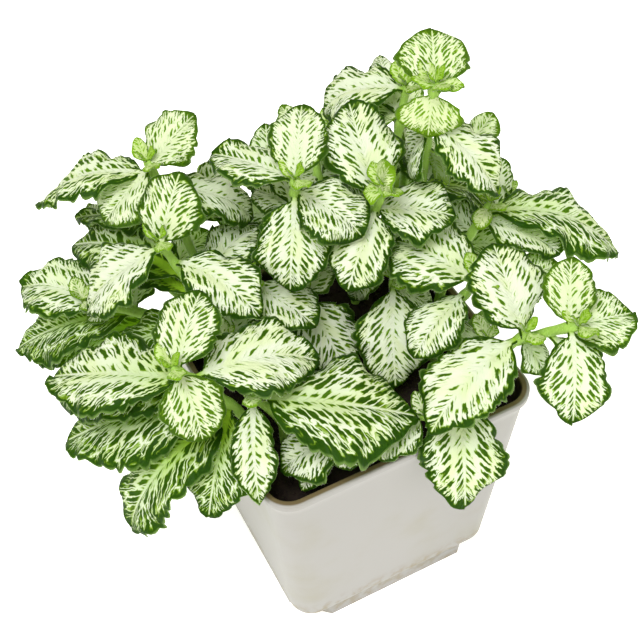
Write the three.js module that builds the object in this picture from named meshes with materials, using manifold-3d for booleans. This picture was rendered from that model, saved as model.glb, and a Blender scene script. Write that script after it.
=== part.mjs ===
// A potted nerve plant: a square nursery pot, its soil, and the leafy shoots that stand in it.
// Millimetres and degrees, +Z up. The origin is the centre of the pot's underside, and the pot's
// walls face along X and Y.
import * as THREE from "three";
import { mergeVertices } from "three/addons/utils/BufferGeometryUtils.js";
import Module from "manifold-3d";

const wasm = await Module();
wasm.setup();

// Pot
const POT_HEIGHT = 90;
const RIM_HALF = 45;
const RIM_DEPTH = 2;
const RIM_FLARE = 5;
const RIM_INNER_HALF = 42.6;
const RIM_CORNER_RADIUS = 9;
const BODY_TOP_HALF = 43.8;
const BODY_BOTTOM_HALF = 37.2;
const BODY_CORNER_RADIUS = 8;
const WALL = 1.2;
const FOOT_HEIGHT = 7;
const FOOT_HALF = 36.2;
const FOOT_CORNER_CUT = 11;
const BOTTOM_EDGE_RADIUS = 1.2;
const DRAIN_HOLE_RADIUS = 4;
const DRAIN_HOLE_REACH = 22;
const CORNER_STEPS = 5;

// Soil
const SOIL_TOP = 80;
const SOIL_GAP = 0.3;
const SOIL_RINGS = 3;

// Stems
const STEM_RADIUS = 1.6;
const STEM_SIDES = 6;
const STEM_STEPS = 3;
const STEM_FOOT = 64;
const STEM_LEAN_START = 88;
const STEM_LEAN_POWER = 1.4;
const HOLE_RADIUS = 2.2;
const BUD_RADIUS = 2;
const BUD_LENGTH = 3.6;

// Leaves
const BLADE_THICKNESS = 0.7;
const PETIOLE_SHARE = 0.11;
const PETIOLE_HALF_WIDTH = 1.1;
const BLADE_WIDENING = 1.18;
const OUTLINE_SCALE = 2.51;
const OUTLINE_BASE_POWER = 0.66;
const OUTLINE_TIP_POWER = 0.66;
const LOBE_DEPTH = 0.05;
const EDGE_RISE = 0.05;
const CROWN_SLOPE = 0.34;
const CROWN_FALL = 0.4;
const ROOT_SINK = 0.8;

// Each leaf keeps this far, in cells, from what has grown before it
const CELL = 1;
const CELLS = [240, 240, 150];
const CELLS_LOW = [-120, -110, 40];
const SAMPLES_ALONG = 28;
const SAMPLES_ACROSS = 14;
const OWN_SHOOT_REACH = 9;
const OWN_SHOOT_SHARE = 0.3;
const RIM_CLEARANCE = 1.3;
const SOIL_CLEARANCE = 2.6;

// Shoots that the front shows. A leaf is [height on the stem, heading, pitch, length, width, droop]:
// heading is counter-clockwise from +X, pitch is that of the straight line from stem to tip, and
// droop is how far the rib turns down along its length.
const FRONT_SHOOTS = [
  {
    name: "left_back",
    root: [-27, 38],
    tip: [-35, 56, 141],
    leaves: [
      [139, 11, 31, 22, 17, 25],
      [139, -171, -33, 23, 17, 40],
      [136, 140, -28, 48, 20, 85],
      [133, -28, -24, 33, 17, 45],
      [121, 33, 11, 36, 8, 30],
      [120, 131, -17, 42, 10, 35],
    ],
  },
  {
    name: "left_middle",
    root: [-31, 20],
    tip: [-42, 34, 130],
    leaves: [
      [128, 34, 31, 24, 18, 25],
      [128, 170, -32, 35, 21, 45],
      [122, -60, -20, 34, 17, 75],
      [115, 123, -12, 54, 19, 40],
      [112, 26, 0, 37, 16, 45],
      [108, 132, -17, 54, 11, 40],
      [101, 168, -6, 36, 17, 30],
    ],
  },
  {
    name: "left_far",
    root: [-38, 33],
    tip: [-66, 47, 104],
    leaves: [
      [101, 129, -6, 37, 20, 35],
      [97, 150, -23, 50, 22, 45],
      [92, 158, -19, 50, 16, 40],
      [101, 172, -30, 10, 7, 30],
      [98, 55, 4, 26, 10, 40],
    ],
  },
  {
    name: "front_left",
    root: [-37, -12],
    tip: [-56, -7, 123],
    leaves: [
      [121, 45, 29, 25, 16, 25],
      [121, -94, -36, 22, 16, 40],
      [116, 135, -18, 51, 23, 40],
      [116, -3, -10, 41, 22, 40],
      [102, 150, -20, 58, 28, 35],
      [101, -133, -36, 35, 20, 50],
      [98, -177, -26, 56, 23, 95],
      [109, 140, -17, 56, 18, 40],
      [108, 157, -26, 23, 11, 40],
    ],
  },
  {
    name: "front_middle",
    root: [-28, -16],
    tip: [-38, -15, 109],
    leaves: [
      [106, -30, -9, 50, 32, 35],
      [106, -114, -26, 32, 11, 35],
    ],
  },
  {
    name: "inner_left",
    root: [-22, 12],
    tip: [-33, 11, 103],
    leaves: [
      [101, 51, 3, 20, 11, 30],
      [101, 142, -18, 13, 9, 30],
    ],
  },
  {
    name: "centre_left",
    root: [-12, 24],
    tip: [-19, 23, 112],
    leaves: [
      [109, -66, -13, 27, 19, 35],
      [109, 93, 6, 28, 10, 30],
    ],
  },
  {
    name: "centre_back",
    root: [2, 36],
    tip: [-2, 21, 147],
    leaves: [
      [145, 122, -4, 31, 18, 35],
      [145, 56, 32, 25, 15, 25],
      [139, -54, -11, 26, 20, 45],
      [139, -124, -42, 31, 19, 45],
      [128, 109, -19, 19, 11, 40],
      [128, 82, 12, 28, 8, 30],
    ],
  },
  {
    name: "centre",
    root: [18, 24],
    tip: [21, 9, 143],
    leaves: [
      [141, -8, 75, 10, 12, 20],
      [141, 146, -8, 7, 7, 20],
      [136, 82, 26, 32, 21, 25],
      [131, -129, -35, 29, 16, 50],
      [130, -37, -4, 26, 20, 40],
      [128, 136, -48, 19, 21, 40],
      [120, -157, -52, 29, 13, 40],
      [121, -54, -24, 23, 13, 40],
    ],
  },
  {
    name: "centre_front",
    root: [-1, 16],
    tip: [-4, 17, 102],
    leaves: [
      [100, -82, -37, 28, 19, 45],
      [101, 28, 12, 15, 10, 40],
    ],
  },
  {
    name: "centre_right",
    root: [22, 4],
    tip: [20, 2, 111],
    leaves: [
      [108, -117, -37, 34, 19, 45],
      [106, -42, -8, 15, 12, 30],
    ],
  },
  {
    name: "back_right_arch",
    root: [34, 34],
    tip: [46, 40, 149],
    leaves: [
      [147, 143, -21, 33, 19, 75],
      [136, 98, 3, 36, 12, 40],
      [137, 77, 9, 31, 10, 40],
      [140, 114, -26, 9, 13, 30],
    ],
  },
  {
    name: "right_tall",
    root: [38, 20],
    tip: [41, 16, 168],
    leaves: [
      [165, 62, 31, 20, 18, 25],
      [165, -132, -61, 14, 16, 40],
      [167, 147, 22, 8, 5, 20],
      [167, -52, 12, 10, 6, 20],
      [154, -64, -26, 32, 17, 60],
      [150, 148, -58, 17, 20, 40],
      [145, 4, -70, 18, 14, 40],
      [128, -33, -26, 28, 15, 40],
    ],
  },
  {
    name: "right_front",
    root: [28, -10],
    tip: [37, -20, 123],
    leaves: [
      [121, 116, 2, 31, 23, 35],
      [121, -35, -5, 11, 7, 30],
      [114, -155, -21, 28, 15, 45],
    ],
  },
  {
    name: "right_inner",
    root: [32, -22],
    tip: [36, -28, 104],
    leaves: [
      [102, 151, -6, 19, 20, 40],
      [98, -161, -22, 19, 12, 40],
    ],
  },
  {
    name: "right_middle",
    root: [38, -12],
    tip: [49, -25, 115],
    leaves: [
      [112, 11, 5, 21, 17, 35],
    ],
  },
  {
    name: "right_far",
    root: [36, -24],
    tip: [53, -47, 120],
    leaves: [
      [118, 59, 38, 21, 13, 25],
      [118, -117, -45, 29, 17, 45],
      [116, -14, -5, 23, 19, 30],
      [113, -54, -50, 31, 10, 40],
      [106, -74, -37, 14, 9, 35],
    ],
  },
  {
    name: "right_corner",
    root: [34, -30],
    tip: [42, -38, 114],
    leaves: [
      [112, 85, 38, 30, 20, 40],
      [110, -161, -10, 42, 20, 45],
    ],
  },
  {
    name: "front_right",
    root: [22, -30],
    tip: [20, -41, 100],
    leaves: [
      [97, -116, -43, 36, 21, 70],
    ],
  },
  {
    name: "right_back",
    root: [38, 4],
    tip: [54, 2, 127],
    leaves: [
      [125, -141, 5, 11, 5, 20],
      [122, -27, -25, 54, 24, 90],
      [121, -53, -11, 28, 14, 30],
      [116, 113, 7, 17, 13, 40],
    ],
  },
  {
    name: "front_edge_right",
    root: [6, -30],
    tip: [8, -40, 97],
    leaves: [
      [95, -166, -5, 26, 16, 45],
      [94, 10, 0, 14, 10, 45],
    ],
  },
  {
    name: "front_edge",
    root: [-14, -28],
    tip: [-18, -34, 99],
    leaves: [
      [96, 176, -19, 22, 18, 35],
      [96, -104, -18, 14, 10, 40],
      [93, -152, -5, 22, 8, 30],
    ],
  },
];

// Shoots that only the back and the far side show: pairs of leaves, each pair a quarter turn from
// the pair above it and larger. "turn" is the heading of the top pair.
const BACK_SHOOTS = [
  { name: "back_left", root: [-12, 38], tip: [-14, 62, 116], turn: 20, pairs: 3, first: 20 },
  { name: "back_middle", root: [7, 38], tip: [8, 70, 108], turn: 65, pairs: 3, first: 20 },
  { name: "back_centre", root: [14, 38], tip: [22, 58, 122], turn: 110, pairs: 3, first: 20 },
  { name: "back_right", root: [26, 38], tip: [36, 72, 112], turn: 30, pairs: 3, first: 20 },
  { name: "back_far_right", root: [37.5, 30.5], tip: [60, 60, 116], turn: 75, pairs: 3, first: 20 },
  { name: "side_right", root: [38, 26], tip: [66, 36, 116], turn: 10, pairs: 3, first: 20 },
  { name: "side_far_right", root: [37, 14], tip: [74, 20, 106], turn: 60, pairs: 3, first: 18 },
  { name: "back_far_left", root: [-33, 37], tip: [-50, 76, 104], turn: 120, pairs: 3, first: 18 },
];
const PAIR_DROP = 2;
const PAIR_SPACING = 7;
const PAIR_GROWTH = 8;
const LONGEST_BACK_LEAF = 36;
const BACK_LEAF_WIDTH_SHARE = 0.56;

const radians = THREE.MathUtils.degToRad;

// Solids from three.js geometry

function solidFrom(geometry) {
  const bare = geometry.index ? geometry.toNonIndexed() : geometry.clone();
  bare.deleteAttribute("normal");
  bare.deleteAttribute("uv");
  const merged = mergeVertices(bare, 1e-4);
  const mesh = new wasm.Mesh({
    numProp: 3,
    vertProperties: new Float32Array(merged.attributes.position.array),
    triVerts: new Uint32Array(merged.index.array),
  });
  return new wasm.Manifold(mesh);
}

function geometryFrom(solid) {
  const mesh = solid.getMesh();
  const geometry = new THREE.BufferGeometry();
  geometry.setAttribute("position", new THREE.BufferAttribute(mesh.vertProperties, 3));
  geometry.setIndex(new THREE.BufferAttribute(mesh.triVerts, 1));
  return geometry;
}

function geometryOfFaces(points, faces) {
  const geometry = new THREE.BufferGeometry();
  const positions = points.flatMap((point) => point.toArray());
  geometry.setAttribute("position", new THREE.Float32BufferAttribute(positions, 3));
  geometry.setIndex(faces.flat());
  return geometry;
}

// A closed loft through rings of equally many points, with a fan at each end.
function loft(rings) {
  const count = rings[0].length;
  const points = rings.flat();
  const faces = [];
  for (let level = 0; level + 1 < rings.length; level += 1) {
    for (let step = 0; step < count; step += 1) {
      const next = (step + 1) % count;
      const low = level * count;
      const high = low + count;
      faces.push([low + step, low + next, high + next]);
      faces.push([low + step, high + next, high + step]);
    }
  }
  const ends = [rings[0], rings[rings.length - 1]];
  ends.forEach((ring, end) => {
    const centre = new THREE.Vector3();
    ring.forEach((point) => centre.addScaledVector(point, 1 / count));
    const first = end === 0 ? 0 : points.length - 1 - count;
    const middle = points.push(centre) - 1;
    for (let step = 0; step < count; step += 1) {
      const next = (step + 1) % count;
      const edge = end === 0 ? [first + next, first + step] : [first + step, first + next];
      faces.push([middle, ...edge]);
    }
  });
  return geometryOfFaces(points, faces);
}

// A square ring with round corners.
function squareRing(half, radius, height) {
  const ring = [];
  for (let corner = 0; corner < 4; corner += 1) {
    const signX = corner === 0 || corner === 3 ? 1 : -1;
    const signY = corner < 2 ? 1 : -1;
    for (let step = 0; step <= CORNER_STEPS; step += 1) {
      const angle = (corner + step / CORNER_STEPS) * (Math.PI / 2);
      const x = signX * (half - radius) + radius * Math.cos(angle);
      const y = signY * (half - radius) + radius * Math.sin(angle);
      ring.push(new THREE.Vector3(x, y, height));
    }
  }
  return ring;
}

// Pot and soil

// Half width of the pot's outer wall at a height, below the flare under its rim.
function bodyHalf(height) {
  const top = POT_HEIGHT - RIM_DEPTH;
  const share = (height - FOOT_HEIGHT) / (top - FOOT_HEIGHT);
  return THREE.MathUtils.lerp(BODY_BOTTOM_HALF, BODY_TOP_HALF, share);
}

// The square foot with its corners cut off, set in by some distance.
function footBlock(inset, bottom, top) {
  const half = FOOT_HALF - inset;
  const cut = half - FOOT_CORNER_CUT;
  const outline = new THREE.Shape();
  outline.moveTo(half, -cut);
  outline.lineTo(half, cut);
  outline.lineTo(cut, half);
  outline.lineTo(-cut, half);
  outline.lineTo(-half, cut);
  outline.lineTo(-half, -cut);
  outline.lineTo(-cut, -half);
  outline.lineTo(cut, -half);
  outline.closePath();
  const geometry = new THREE.ExtrudeGeometry(outline, { depth: top - bottom, bevelEnabled: false });
  geometry.translate(0, 0, bottom);
  return solidFrom(geometry);
}

function potSolid() {
  const rimFoot = POT_HEIGHT - RIM_DEPTH;
  const floor = FOOT_HEIGHT + WALL;
  const edge = BOTTOM_EDGE_RADIUS;
  const cup = solidFrom(
    loft([
      squareRing(BODY_BOTTOM_HALF - edge, BODY_CORNER_RADIUS - edge, FOOT_HEIGHT),
      squareRing(bodyHalf(FOOT_HEIGHT + edge), BODY_CORNER_RADIUS, FOOT_HEIGHT + edge),
      squareRing(bodyHalf(rimFoot - RIM_FLARE), BODY_CORNER_RADIUS, rimFoot - RIM_FLARE),
      squareRing(RIM_HALF, RIM_CORNER_RADIUS, rimFoot),
      squareRing(RIM_HALF, RIM_CORNER_RADIUS, POT_HEIGHT),
      squareRing(RIM_INNER_HALF, BODY_CORNER_RADIUS - WALL, POT_HEIGHT),
      squareRing(RIM_INNER_HALF, BODY_CORNER_RADIUS - WALL, rimFoot),
      squareRing(bodyHalf(floor) - WALL, BODY_CORNER_RADIUS - WALL, floor),
    ]),
  );
  const overlap = 0.5;
  const foot = footBlock(0, 0, FOOT_HEIGHT + overlap);
  const footHollow = footBlock(WALL, WALL, floor + overlap);
  let pot = cup.add(foot).subtract(footHollow);
  for (const sideX of [-1, 1]) {
    for (const sideY of [-1, 1]) {
      const hole = new THREE.CylinderGeometry(DRAIN_HOLE_RADIUS, DRAIN_HOLE_RADIUS, 4 * WALL, 12);
      hole.rotateX(Math.PI / 2);
      hole.translate(sideX * DRAIN_HOLE_REACH, sideY * DRAIN_HOLE_REACH, 0);
      pot = pot.subtract(solidFrom(hole));
    }
  }
  return pot;
}

// Height of the soil's crumbly top over a point, about SOIL_TOP.
function soilHeight(x, y) {
  const swell = 0.9 * Math.sin(0.31 * x + 1) * Math.cos(0.27 * y);
  const crumbs = 0.5 * Math.sin(0.83 * x + 0.61 * y);
  return SOIL_TOP + swell + crumbs;
}

function soilSolid(shoots) {
  const inset = WALL + SOIL_GAP;
  const floor = FOOT_HEIGHT + WALL + SOIL_GAP;
  const topHalf = bodyHalf(SOIL_TOP) - inset;
  const radius = BODY_CORNER_RADIUS - inset;
  const rings = [squareRing(bodyHalf(floor) - inset, radius, floor)];
  for (let step = 0; step < SOIL_RINGS; step += 1) {
    const share = 1 - step / SOIL_RINGS;
    const ring = squareRing(topHalf * share, radius * share, SOIL_TOP);
    ring.forEach((point) => point.setZ(step === 0 ? SOIL_TOP : soilHeight(point.x, point.y)));
    rings.push(ring);
  }
  const footFill = footBlock(inset, WALL + SOIL_GAP, floor + 1);
  const holes = shoots.map((shoot) => {
    const bottom = STEM_FOOT - SOIL_GAP;
    const top = SOIL_TOP + SOIL_CLEARANCE;
    const hole = new THREE.CylinderGeometry(HOLE_RADIUS, HOLE_RADIUS, top - bottom, STEM_SIDES);
    hole.rotateX(Math.PI / 2);
    hole.translate(shoot.root[0], shoot.root[1], (top + bottom) / 2);
    return solidFrom(hole);
  });
  return solidFrom(loft(rings)).add(footFill).subtract(wasm.Manifold.union(holes));
}

// Stems

// The stem's axis at a height: upright in the soil, then leaning over to the shoot's tip.
function stemPoint(shoot, height) {
  const [rootX, rootY] = shoot.root;
  const [tipX, tipY, tipZ] = shoot.tip;
  const rise = Math.max(0, (height - STEM_LEAN_START) / (tipZ - STEM_LEAN_START));
  const lean = rise ** STEM_LEAN_POWER;
  return new THREE.Vector3(rootX + (tipX - rootX) * lean, rootY + (tipY - rootY) * lean, height);
}

// A ring of the stem at a height, square to the way that the stem runs there.
function stemRing(shoot, height, radius, beyond = 0) {
  const lean = new THREE.Vector3(shoot.tip[0] - shoot.root[0], shoot.tip[1] - shoot.root[1], 0).normalize();
  const side = new THREE.Vector3(-lean.y, lean.x, 0);
  const below = stemPoint(shoot, Math.max(height - 1, STEM_FOOT - 1));
  const run = stemPoint(shoot, height).sub(below).normalize();
  const depth = new THREE.Vector3().crossVectors(run, side);
  const centre = stemPoint(shoot, height).addScaledVector(run, beyond);
  const ring = [];
  for (let step = 0; step < STEM_SIDES; step += 1) {
    const angle = (step / STEM_SIDES) * 2 * Math.PI;
    const point = centre.clone().addScaledVector(side, radius * Math.cos(angle));
    ring.push(point.addScaledVector(depth, radius * Math.sin(angle)));
  }
  return ring;
}

// A stem from its foot in the soil to the closed bud at its tip.
function stemSolid(shoot) {
  const tip = shoot.tip[2];
  const rings = [stemRing(shoot, STEM_FOOT, STEM_RADIUS)];
  for (let step = 0; step <= STEM_STEPS; step += 1) {
    const height = THREE.MathUtils.lerp(STEM_LEAN_START, tip, step / STEM_STEPS);
    rings.push(stemRing(shoot, height, STEM_RADIUS));
  }
  rings.push(stemRing(shoot, tip, BUD_RADIUS, BUD_LENGTH / 2));
  rings.push(stemRing(shoot, tip, BUD_RADIUS / 4, BUD_LENGTH));
  return solidFrom(loft(rings));
}

// Leaves

// The integral of cos(start + turn * t) for t from 0 to share, and the like of sin.
function runOf(wave, start, turn, share) {
  const half = (turn * share) / 2;
  const spread = Math.abs(half) < 1e-9 ? 1 : Math.sin(half) / half;
  return share * wave(start + half) * spread;
}

// A leaf's rib is an arc that droops along its length and sweeps a little to one side.
function ribPoint(leaf, share) {
  const { heading, pitch, droop, sweep, length } = leaf;
  const below = pitch - heading + (droop + sweep) / 2;
  const above = pitch + heading + (droop - sweep) / 2;
  const turnBelow = -(droop + sweep);
  const turnAbove = sweep - droop;
  const cosBelow = runOf(Math.cos, below, turnBelow, share);
  const cosAbove = runOf(Math.cos, above, turnAbove, share);
  const sinBelow = runOf(Math.sin, below, turnBelow, share);
  const sinAbove = runOf(Math.sin, above, turnAbove, share);
  const rise = runOf(Math.sin, pitch + droop / 2, -droop, share);
  return new THREE.Vector3(
    leaf.base.x + (length / 2) * (cosBelow + cosAbove),
    leaf.base.y + (length / 2) * (sinAbove - sinBelow),
    leaf.base.z + length * rise,
  );
}

// The directions across the leaf and out of its upper face, at a share of the rib's length.
function ribFrame(leaf, share) {
  const slope = leaf.pitch + leaf.droop * (0.5 - share);
  const bearing = leaf.heading + leaf.sweep * (share - 0.5);
  const level = new THREE.Vector3(-Math.sin(bearing), Math.cos(bearing), 0);
  const out = new THREE.Vector3(
    -Math.sin(slope) * Math.cos(bearing),
    -Math.sin(slope) * Math.sin(bearing),
    Math.cos(slope),
  );
  const across = level.clone().multiplyScalar(Math.cos(leaf.roll)).addScaledVector(out, Math.sin(leaf.roll));
  const up = out.multiplyScalar(Math.cos(leaf.roll)).addScaledVector(level, -Math.sin(leaf.roll));
  return { across, up };
}

// A point of the blade's middle surface. "share" runs from the stem to the tip, "side" from -1 at
// one edge to 1 at the other. The edge is lobed, and rises and falls with its lobes.
function bladePoint(leaf, share, side) {
  const along = THREE.MathUtils.clamp((share - PETIOLE_SHARE) / (1 - PETIOLE_SHARE), 0, 1);
  const swell = OUTLINE_SCALE * along ** OUTLINE_BASE_POWER * (1 - along) ** OUTLINE_TIP_POWER;
  const halfWidth = Math.max((leaf.width / 2) * swell, PETIOLE_HALF_WIDTH);
  const turnOfEdge = side > 0 ? 1 : leaf.mirror;
  const fold = turnOfEdge * Math.sin(Math.PI * leaf.folds * along);
  const offset = side * halfWidth * (1 + LOBE_DEPTH * fold);
  const blend = Math.min(1, 4 * along);
  const reach = Math.abs(side);
  const crown = halfWidth * (CROWN_SLOPE * reach - CROWN_FALL * reach * reach) * blend;
  const wave = EDGE_RISE * leaf.width * reach ** 3 * fold * blend * Math.min(1, 4 * (1 - along));
  const { across, up } = ribFrame(leaf, share);
  return ribPoint(leaf, share).addScaledVector(across, offset).addScaledVector(up, crown + wave);
}

// The shares of the rib's length at which the solid blade has a row of points: its foot, the end
// of the petiole, each fold's top or bottom, and the tip.
function bladeStations(leaf) {
  const stations = [0, PETIOLE_SHARE];
  for (let fold = 0; fold < leaf.folds; fold += 1) {
    stations.push(PETIOLE_SHARE + ((1 - PETIOLE_SHARE) * (fold + 0.5)) / leaf.folds);
  }
  stations.push(1);
  return stations;
}

// A blade of even thickness, three points wide, its two faces cut into triangles alike.
function leafSolid(leaf) {
  const stations = bladeStations(leaf);
  const points = [];
  stations.forEach((share) => {
    const { up } = ribFrame(leaf, share);
    for (const face of [0.5, -0.5]) {
      for (const side of [-1, 0, 1]) {
        points.push(bladePoint(leaf, share, side).addScaledVector(up, face * BLADE_THICKNESS));
      }
    }
  });
  const top = (row, column) => row * 6 + column;
  const bottom = (row, column) => row * 6 + 3 + column;
  const faces = [];
  const quad = (a, b, c, d) => faces.push([a, b, c], [a, c, d]);
  for (let row = 0; row + 1 < stations.length; row += 1) {
    for (let column = 0; column < 2; column += 1) {
      quad(top(row, column), top(row + 1, column), top(row + 1, column + 1), top(row, column + 1));
      faces.push([bottom(row, column), bottom(row + 1, column + 1), bottom(row + 1, column)]);
      faces.push([bottom(row, column), bottom(row, column + 1), bottom(row + 1, column + 1)]);
    }
    quad(top(row, 0), bottom(row, 0), bottom(row + 1, 0), top(row + 1, 0));
    quad(top(row, 2), top(row + 1, 2), bottom(row + 1, 2), bottom(row, 2));
  }
  const last = stations.length - 1;
  for (let column = 0; column < 2; column += 1) {
    quad(top(0, column), top(0, column + 1), bottom(0, column + 1), bottom(0, column));
    quad(top(last, column), bottom(last, column), bottom(last, column + 1), top(last, column + 1));
  }
  return solidFrom(geometryOfFaces(points, faces));
}

// Growing: every leaf takes the pose nearest its natural one that touches nothing

// A seeded draw between two values, the same on every run.
function drawsFrom(seed) {
  let state = seed;
  return (low, high) => {
    state = (state * 16807) % 2147483647;
    return low + ((high - low) * state) / 2147483647;
  };
}

// The space that stems and leaves have taken, as a grid of cells that hold their shoot's number.
class TakenSpace {
  constructor() {
    this.owner = new Uint8Array(CELLS[0] * CELLS[1] * CELLS[2]);
  }

  static cellOf(point) {
    return point.toArray().map((value, axis) => Math.floor((value - CELLS_LOW[axis]) / CELL));
  }

  static indexOf(x, y, z) {
    return (x * CELLS[1] + y) * CELLS[2] + z;
  }

  ownerAt(point) {
    return this.owner[TakenSpace.indexOf(...TakenSpace.cellOf(point))];
  }

  // The first to take a cell keeps it. The cells round the point are taken with it.
  take(point, owner) {
    const [cellX, cellY, cellZ] = TakenSpace.cellOf(point);
    for (let x = cellX - 1; x <= cellX + 1; x += 1) {
      for (let y = cellY - 1; y <= cellY + 1; y += 1) {
        for (let z = cellZ - 1; z <= cellZ + 1; z += 1) {
          const index = TakenSpace.indexOf(x, y, z);
          if (this.owner[index] === 0) this.owner[index] = owner;
        }
      }
    }
  }
}

// True where a point would be in the pot's wall or rim, or in the soil.
function inPotOrSoil(point) {
  const reach = Math.max(Math.abs(point.x), Math.abs(point.y));
  if (reach > RIM_HALF + RIM_CLEARANCE) return false;
  const overSoil = point.z > SOIL_TOP + SOIL_CLEARANCE;
  const overRim = point.z > POT_HEIGHT + RIM_CLEARANCE;
  const inside = reach < RIM_INNER_HALF - RIM_CLEARANCE;
  return !overSoil || (!inside && !overRim);
}

function leafSamples(leaf) {
  const samples = [];
  for (let row = 0; row <= SAMPLES_ALONG; row += 1) {
    const share = row / SAMPLES_ALONG;
    const ownReach = Math.max(OWN_SHOOT_REACH, OWN_SHOOT_SHARE * leaf.length);
    const nearStem = share * leaf.length < ownReach;
    for (let column = 0; column <= SAMPLES_ACROSS; column += 1) {
      const point = bladePoint(leaf, share, (2 * column) / SAMPLES_ACROSS - 1);
      samples.push({ point, nearStem });
    }
  }
  return samples;
}

// Ways for a leaf to give way: smaller, turned aside, or raised and lowered, the least first.
function waysToGive() {
  const ways = [];
  for (const percent of [100, 90, 80, 70]) {
    for (const turn of [0, 5, -5, 10, -10, 15, -15]) {
      for (const raise of [0, 3, -3, 6, -6, 9, -9, 12, -12, 15, -15, 18, -18, 21, -21, 25, -25, 30, -30]) {
        const cost = 10 * Math.abs(raise) + 12 * Math.abs(turn) + 9 * (100 - percent);
        ways.push({ scale: percent / 100, turn, raise, cost });
      }
    }
  }
  return ways.sort((one, other) => one.cost - other.cost);
}

function foldsFor(length) {
  if (length >= 45) return 5;
  if (length >= 30) return 4;
  return length >= 16 ? 3 : 2;
}

function leafFrom(shoot, row, way, number) {
  const [height, heading, pitch, length, width, droop] = row;
  const draw = drawsFrom(1000 + 37 * number);
  [0, 1, 2].forEach(() => draw(0, 1));
  const bearing = radians(heading + way.turn);
  const back = new THREE.Vector3(Math.cos(bearing), Math.sin(bearing), 0).multiplyScalar(-ROOT_SINK);
  return {
    base: stemPoint(shoot, height).add(back),
    heading: bearing,
    pitch: radians(pitch + way.raise),
    length: length * way.scale,
    width: width * way.scale * BLADE_WIDENING,
    droop: radians(droop),
    sweep: radians(draw(-16, 16)),
    roll: radians(draw(-9, 9)),
    mirror: number % 2 === 0 ? 1 : -1,
    folds: foldsFor(length),
  };
}

// Pairs of leaves down a stem, each a quarter turn from the pair above.
function pairedLeaves(shoot) {
  const rows = [];
  for (let pair = 0; pair < shoot.pairs; pair += 1) {
    const height = shoot.tip[2] - PAIR_DROP - PAIR_SPACING * pair;
    const length = Math.min(shoot.first + PAIR_GROWTH * pair, LONGEST_BACK_LEAF);
    for (const half of [0, 180]) {
      const heading = shoot.turn + 90 * pair + half;
      const pitch = 38 - 24 * pair - (half ? 6 : 0);
      rows.push([height, heading, pitch, length, length * BACK_LEAF_WIDTH_SHARE, 25 + 10 * pair]);
    }
  }
  return rows;
}

// The leaves of every shoot that find room. The shown shoots grow before the others, and in each
// group the upper pairs before the lower.
function growLeaves(shoots) {
  const taken = new TakenSpace();
  shoots.forEach((shoot, index) => {
    for (let height = SOIL_TOP - 6; height < shoot.tip[2] + BUD_LENGTH; height += 1.2) {
      for (const angle of [0, 90, 180, 270]) {
        const point = stemPoint(shoot, height);
        point.x += 1.2 * Math.cos(radians(angle));
        point.y += 1.2 * Math.sin(radians(angle));
        taken.take(point, index + 1);
      }
    }
  });
  const queue = shoots.flatMap((shoot, index) =>
    shoot.leaves.map((row, place) => ({ shoot, index, row, pair: Math.floor(place / 2) })),
  );
  queue.sort((one, other) =>
    one.shoot.behind - other.shoot.behind || one.pair - other.pair || other.row[0] - one.row[0]);
  const ways = waysToGive();
  const grown = shoots.map(() => []);
  queue.forEach(({ shoot, index, row }, number) => {
    for (const way of ways) {
      const leaf = leafFrom(shoot, row, way, number);
      const samples = leafSamples(leaf);
      const clear = samples.every(({ point, nearStem }) => {
        const owner = taken.ownerAt(point);
        const meetsOther = owner !== 0 && owner !== index + 1;
        const meetsOwn = owner === index + 1 && !nearStem;
        return !meetsOther && !meetsOwn && !inPotOrSoil(point);
      });
      if (clear) {
        samples.forEach(({ point }) => taken.take(point, index + 1));
        grown[index].push(leaf);
        return;
      }
    }
  });
  return grown;
}

// The scene

const potPlastic = new THREE.MeshStandardMaterial({ color: "#d2cfc8", roughness: 0.55, metalness: 0 });
const pottingSoil = new THREE.MeshStandardMaterial({ color: "#2c221b", roughness: 0.95, metalness: 0 });
const leafGreen = new THREE.MeshStandardMaterial({ color: "#a9c77d", roughness: 0.5, metalness: 0 });

function meshOf(name, solid, material) {
  const mesh = new THREE.Mesh(geometryFrom(solid), material.clone());
  mesh.name = name;
  return mesh;
}

const shoots = [
  ...FRONT_SHOOTS.map((shoot) => ({ ...shoot, behind: 0 })),
  ...BACK_SHOOTS.map((shoot) => ({ ...shoot, behind: 1, leaves: pairedLeaves(shoot) })),
];
const grown = growLeaves(shoots);

const group = new THREE.Group();
group.add(meshOf("pot", potSolid(), potPlastic));
group.add(meshOf("soil", soilSolid(shoots), pottingSoil));
shoots.forEach((shoot, index) => {
  const solids = [stemSolid(shoot), ...grown[index].map(leafSolid)];
  group.add(meshOf(`shoot_${shoot.name}`, wasm.Manifold.union(solids), leafGreen));
});

export default group;
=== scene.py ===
"""Looks of a potted nerve plant: leafy shoots that stand in soil in a square nursery pot.

Sizes are in millimetres and degrees until a mesh is made, with +Z up and the origin at the centre
of the pot's underside, as in the solid model. The shoots grow by the solid model's own rule, so
each finer leaf lies where its solid lies.
"""

import logging
import math
from dataclasses import dataclass, field
from enum import Enum
from functools import partial
from itertools import combinations
from typing import Callable, Iterable, Sequence

import bpy
import numpy as np
from mathutils import Matrix, Vector


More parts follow.
